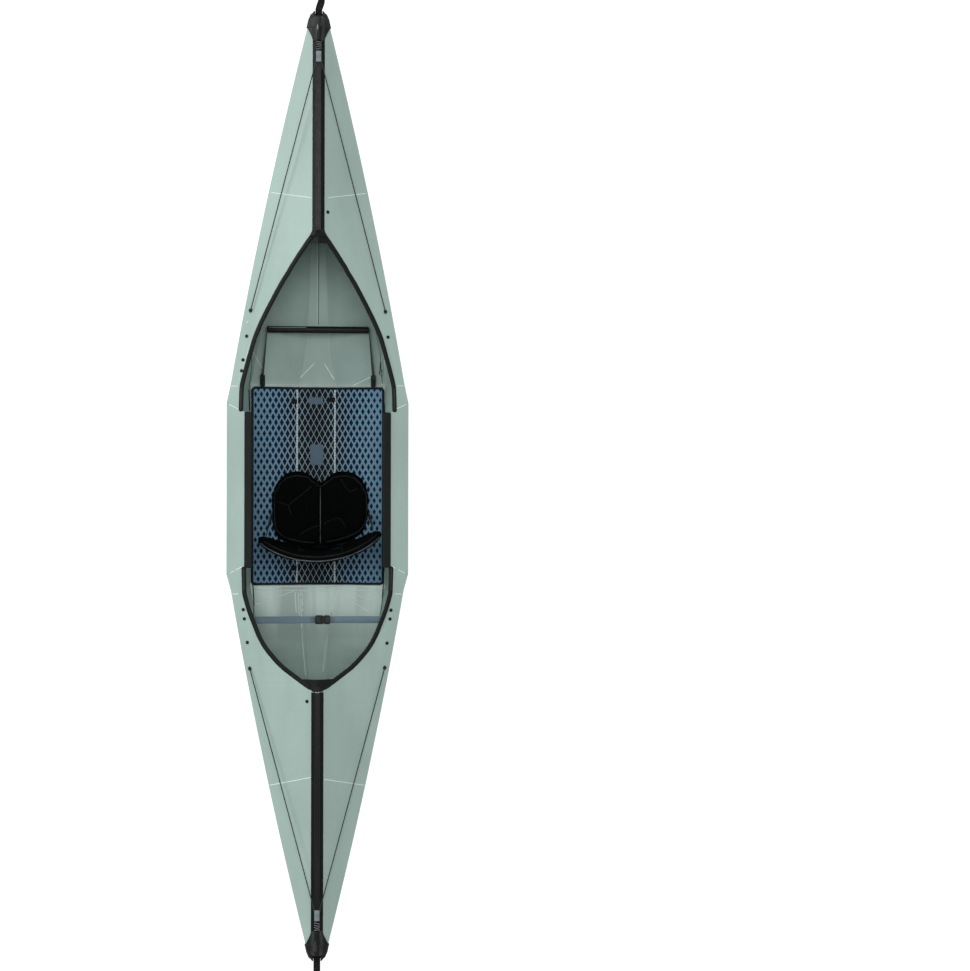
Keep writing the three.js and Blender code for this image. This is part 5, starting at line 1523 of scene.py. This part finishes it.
def make_strap_patch(name, body, centre, face, up):
    """The sewn patch that holds a strap's end, with its box stitch."""
    side = up.cross(face).normalized()
    rings = slab_rings(0.012, 0.015, corner=0.003, height=STRAP_THICK, edge=0.0004,
                       place=lambda x, y, z: centre + side * x + up * y + face * (z + STRAP_THICK / 2))
    piece(f"{body}_strap_patch_{name}", [rings], body, "black_webbing")
    lines = box_stitch(centre + face * 0.0026, up, side, face, 0.0115, 0.0085)
    stitched(f"{body}_strap_stitches_{name}", lines, body, 0.0042, "thread_dark")


def loop_path(near, near_radius, far, far_radius, steps):
    """Closed loop round two circles in a fore-and-aft plane, each centre (y, z)."""
    gap = math.hypot(far[0] - near[0], far[1] - near[1])
    heading = math.atan2(far[1] - near[1], far[0] - near[0])
    tangent = math.acos((near_radius - far_radius) / gap)

    def arc(centre, radius, start, stop):
        turns = [heading + lerp(start, stop, i / steps) for i in range(steps + 1)]
        return [Vector((0, centre[0] + radius * math.cos(a), centre[1] + radius * math.sin(a))) for a in turns]

    far_arc = arc(far, far_radius, -tangent, tangent)
    near_arc = arc(near, near_radius, tangent, 2 * math.pi - tangent)
    path = far_arc + [far_arc[-1].lerp(near_arc[0], i / 8) for i in range(1, 8)]
    return path + near_arc + [near_arc[-1].lerp(far_arc[0], i / 8) for i in range(1, 8)]


def make_tension_strap(name, end):
    radius = CORD_DIAMETER / 2 + CLEARANCE + STRAP_THICK / 2
    near, far = LOCK_END - STRAP_LENGTH, LOCK_END - CLEARANCE - radius - STRAP_THICK / 2
    lift = CLEARANCE + STRAP_THICK / 2 + radius
    path = [Vector((0, end * p.y, p.z + channel_top(end, p.y) + lift))
            for p in loop_path((near, 0), radius, (far, 0), radius, 8)]
    piece(f"tension_strap_{name}_webbing", [webbing_rings(path, ACROSS, STRAP_WIDTH, STRAP_THICK, True)], "hull",
          "grey_webbing", "pale_webbing", [f"tension_strap_{name}"], closed=True)
    above = lift + radius + STRAP_THICK / 2 + CLEARANCE
    lines = [[(Vector((x, end * y, channel_top(end, y) + above)), UP) for x in (-0.0075, 0.0075)]
             for y in (near + 0.012, near + 0.017, near + 0.022)]
    stitched(f"tension_strap_{name}_stitches", lines, "hull", 0.004)


def make_grab_loop(name, end):
    pin_low, pin_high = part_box(f"handle_pin_{name}")
    pin = (end * (pin_low[1] + pin_high[1]) / 2, (pin_low[2] + pin_high[2]) / 2)
    path = [Vector((LOOP_LEAN[end] * min(1, max(0, (p.y - pin[0] - 0.022) / 0.03)), end * p.y, p.z))
            for p in loop_path(pin, PIN_WRAP, (pin[0] + LOOP_REACH, pin[1]), LOOP_BEND, 10)]
    body = f"{name}_handle"
    rings = webbing_rings(path, ACROSS, LOOP_WIDTH, LOOP_THICK, True)
    piece(f"grab_loop_{name}_webbing", [rings], body, "black_webbing", replaced=[f"grab_loop_{name}"], closed=True)
    upper = [p for p in path if p.z > pin[1] + 0.004 and pin[0] + 0.012 < abs(p.y) < pin[0] + 0.05]
    upper.sort(key=lambda p: abs(p.y))
    along = (upper[-1] - upper[0]).normalized()
    face = ACROSS.cross(along)
    face = face if face.z > 0 else -face
    centre = upper[0].lerp(upper[-1], 0.42) + face * 0.0013
    lines = box_stitch(centre, along, ACROSS, face, 0.011, 0.0105)
    stitched(f"grab_loop_{name}_stitches", lines, body, 0.0042, "thread_dark")


# Small hardware and the caps

def make_channel_beads():
    """Two thin ribs that run along the top of each seam channel."""
    parts = []
    for end in ENDS.values():
        for x in (-BEAD_X, BEAD_X):
            spots = []
            for i in range(60):
                y = lerp(APEX[end] + 0.013, CHANNEL_END - 0.001, i / 59)
                spots.append((Vector((x, end * y, channel_top(end, y) - 0.0001)), UP))
            parts.append(ribbon_rings(spots, width=0.0026, height=0.0011))
    piece("channel_beads", parts, "hull", "channel_plastic")


def make_end_fasteners(name, end):
    skin = Skin(nodes[f"end_cap_{name}"])
    found = [skin.hit(Vector((side * 0.3, end * y, z)), Vector((-side, 0, 0))) for side in (-1, 1)
             for y, z in CAP_SCREWS]
    fastened(f"end_cap_{name}_screws", found, "screw", f"{name}_cap", 1.2)
    low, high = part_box(f"apex_plate_{name}")
    plate = Skin(nodes[f"apex_plate_{name}"])
    found = [plate.under(side * 0.016, (low[1] + high[1]) / 2 + end * 0.006) for side in (-1, 1)]
    fastened(f"apex_plate_{name}_rivets", found, "rivet", size=0.9)


def laid_shell(skin, rows, end, lift, columns=17, ridge=0.0, inner=0.0):
    """Rings of a thin shell moulded over what skin holds. rows are (distance from the middle, half width).
    With inner it covers one side only, from there out."""
    across = [2 * k / (columns - 1) - 1 for k in range(columns)]

    def reach(u, half):
        return u * half if inner == 0 else math.copysign(lerp(abs(inner), half, (u + 1) / 2), inner)

    heights = []
    for y, half in rows:
        found = [skin.under(reach(u, half), end * y) for u in across]
        known = [f[0].z for f in found if f]
        low = min(known) if known else heights[-1][0]
        heights.append([f[0].z if f else low for f in found])
    for smooth in (False, True, True):
        old = [row[:] for row in heights]
        for i in range(len(rows)):
            for k in range(columns):
                near = [old[a][b] for a in range(max(0, i - 1), min(len(rows), i + 2))
                        for b in range(max(0, k - 1), min(columns, k + 2))]
                heights[i][k] = (sum(near) / len(near)) if smooth else max(near)
    rings = []
    for (y, half), row in zip(rows, heights):
        top, low = [], []
        for u, z in zip(across, row):
            x = reach(u, half)
            drop = 0.0022 * max(0, (abs(u) - 0.8) / 0.2) ** 2
            top.append(Vector((x, end * y, z + lift - drop + ridge * math.exp(-(x / 0.005) ** 2))))
            low.append(Vector((x * 0.97, end * y, z + lift - 0.0028 - drop)))
        rings.append(top + low[::-1])
    return rings


def make_cap_shells(name, end):
    """The moulded hood of an end cap: its nose, the tongue over the channel, and the rib on top, lighter in colour as a
    painted highlight.
    """
    skin = Skin(*[node for label, node in nodes.items() if label == f"end_cap_{name}"
                  or label.startswith((f"deck_panel_{name}", f"deck_channel_{name}"))])

    def cap_piece(part, rings, finish):
        return piece(f"end_cap_{name}_{part}", rings, f"{name}_cap", "moulded_plastic", finish)

    nose = cap_piece("nose", [laid_shell(skin, NOSE_SHELL, end, lift=0.0026)], CAP_FINISHES[name])
    cap_piece("prongs", [laid_shell(skin, PRONG_SHELL, end, lift=0.0022, columns=9, inner=side * PRONG_INNER)
                         for side in (-1, 1)], CAP_FINISHES[name])
    tongue = cap_piece("tongue", [laid_shell(skin, TAIL_SHELL, end, lift=0.0014, ridge=0.0016)], "moulded_plastic")
    top = Skin(nose, tongue)
    rings = []
    # The rib's lighter colour is a painted highlight
    for y, half in RIBS[end]:
        spots = [top.under(RIB_X[end] + half * u, end * y) for u in (-1, -0.5, 0, 0.5, 1)]
        if all(spots):
            ring = [s[0] + UP * lift for s, lift in zip(spots, (0, 0.0012, 0.0016, 0.0012, 0))]
            rings.append(ring + [s[0] - UP * 0.0006 for s in reversed(spots)])
    cap_piece("rib", [rings], "worn_plastic" if end > 0 else "edge_bead")


def make_crown(name, end):
    """The rubber crown that ties the two edgings to the channel at a point of the cockpit."""
    under = Skin(*nodes_named(f"deck_panel_{name}", f"deck_channel_{name}", f"coaming_trim_{name}",
                              f"apex_plate_{name}"))
    piece(f"coaming_crown_{name}", [laid_shell(under, CROWNS[end], end, lift=0.0012)], "hull", "edge_rubber")


def make_lock_bars(name, end):
    """The wavy grip bars across a ladder lock, pale grey as a painted highlight."""
    skin = Skin(nodes[f"ladder_lock_{name}"], nodes[f"deck_channel_{name}"])
    parts = []
    for j, y in enumerate(LOCK_BARS_Y):
        path = []
        for i in range(13):
            x = lerp(-LOCK_BAR_HALF, LOCK_BAR_HALF, i / 12)
            y_here = y + 0.0016 * math.sin(x / LOCK_BAR_HALF * math.pi + j) + x * 0.12
            found = skin.under(x, end * y_here)
            if found:
                path.append(Vector((x, end * y_here, found[0].z + 0.0006)))
        top = max(p.z for p in path)
        parts.append(tube_rings([Vector((p.x, p.y, lerp(p.z, top, 0.8))) for p in path], 0.0011, 8))
    piece(f"ladder_lock_{name}_bars", parts, "hull", "moulded_plastic", "worn_plastic")


def make_rail_ends():
    """Rounded plugs in the ends of the two side rails."""
    parts = []
    for name, side in SIDES.items():
        low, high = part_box(f"side_rail_{name}")
        x = side * RAIL_X
        for end, y in ((1, high[1]), (-1, low[1])):
            rings = []
            for j in range(5):
                t = j / 4 * math.pi / 2
                reach, share = 0.004 * math.sin(t), max(0.1, math.cos(t) ** 0.6)
                rings.append([deck_point(x + side * 0.0155 * share * c, y + end * (reach - 0.001),
                                         -0.002 + 0.0062 * share * s) for c, s in circle(16)])
            parts.append(rings)
    piece("side_rail_plugs", parts, "hull", "edge_rubber")


# Making everything

make_camera()
make_materials()
make_parts()
for end_name, end_sign in ENDS.items():
    make_deck_cord(end_name, end_sign)
    make_cord_eyelets(end_name, end_sign)
make_studio()
dress_cad_nodes()

make_marks(Skin(*[node for name, node in nodes.items() if "_panel_" in name or name.startswith("side_deck")]))
make_mat_details(Skin(*nodes_named("floor_board")))
make_mat()
make_trims()
make_deck_lips()
make_seam_screws()
make_channel_beads()
make_rail_ends()
for end_name, end_sign in ENDS.items():
    make_cap_shells(end_name, end_sign)
    make_crown(end_name, end_sign)
    make_lock_bars(end_name, end_sign)
    make_end_fasteners(end_name, end_sign)
    make_tension_strap(end_name, end_sign)
    make_grab_loop(end_name, end_sign)
make_cross_strap(Skin(*nodes_named("side_panel")))
make_buckle_ribs()
make_footrest()
make_backrest_straps()
make_seat()
make_backrest()
make_lumbar()
for part in PARTS.values():
    bpy.data.objects.remove(part, do_unlink=True)
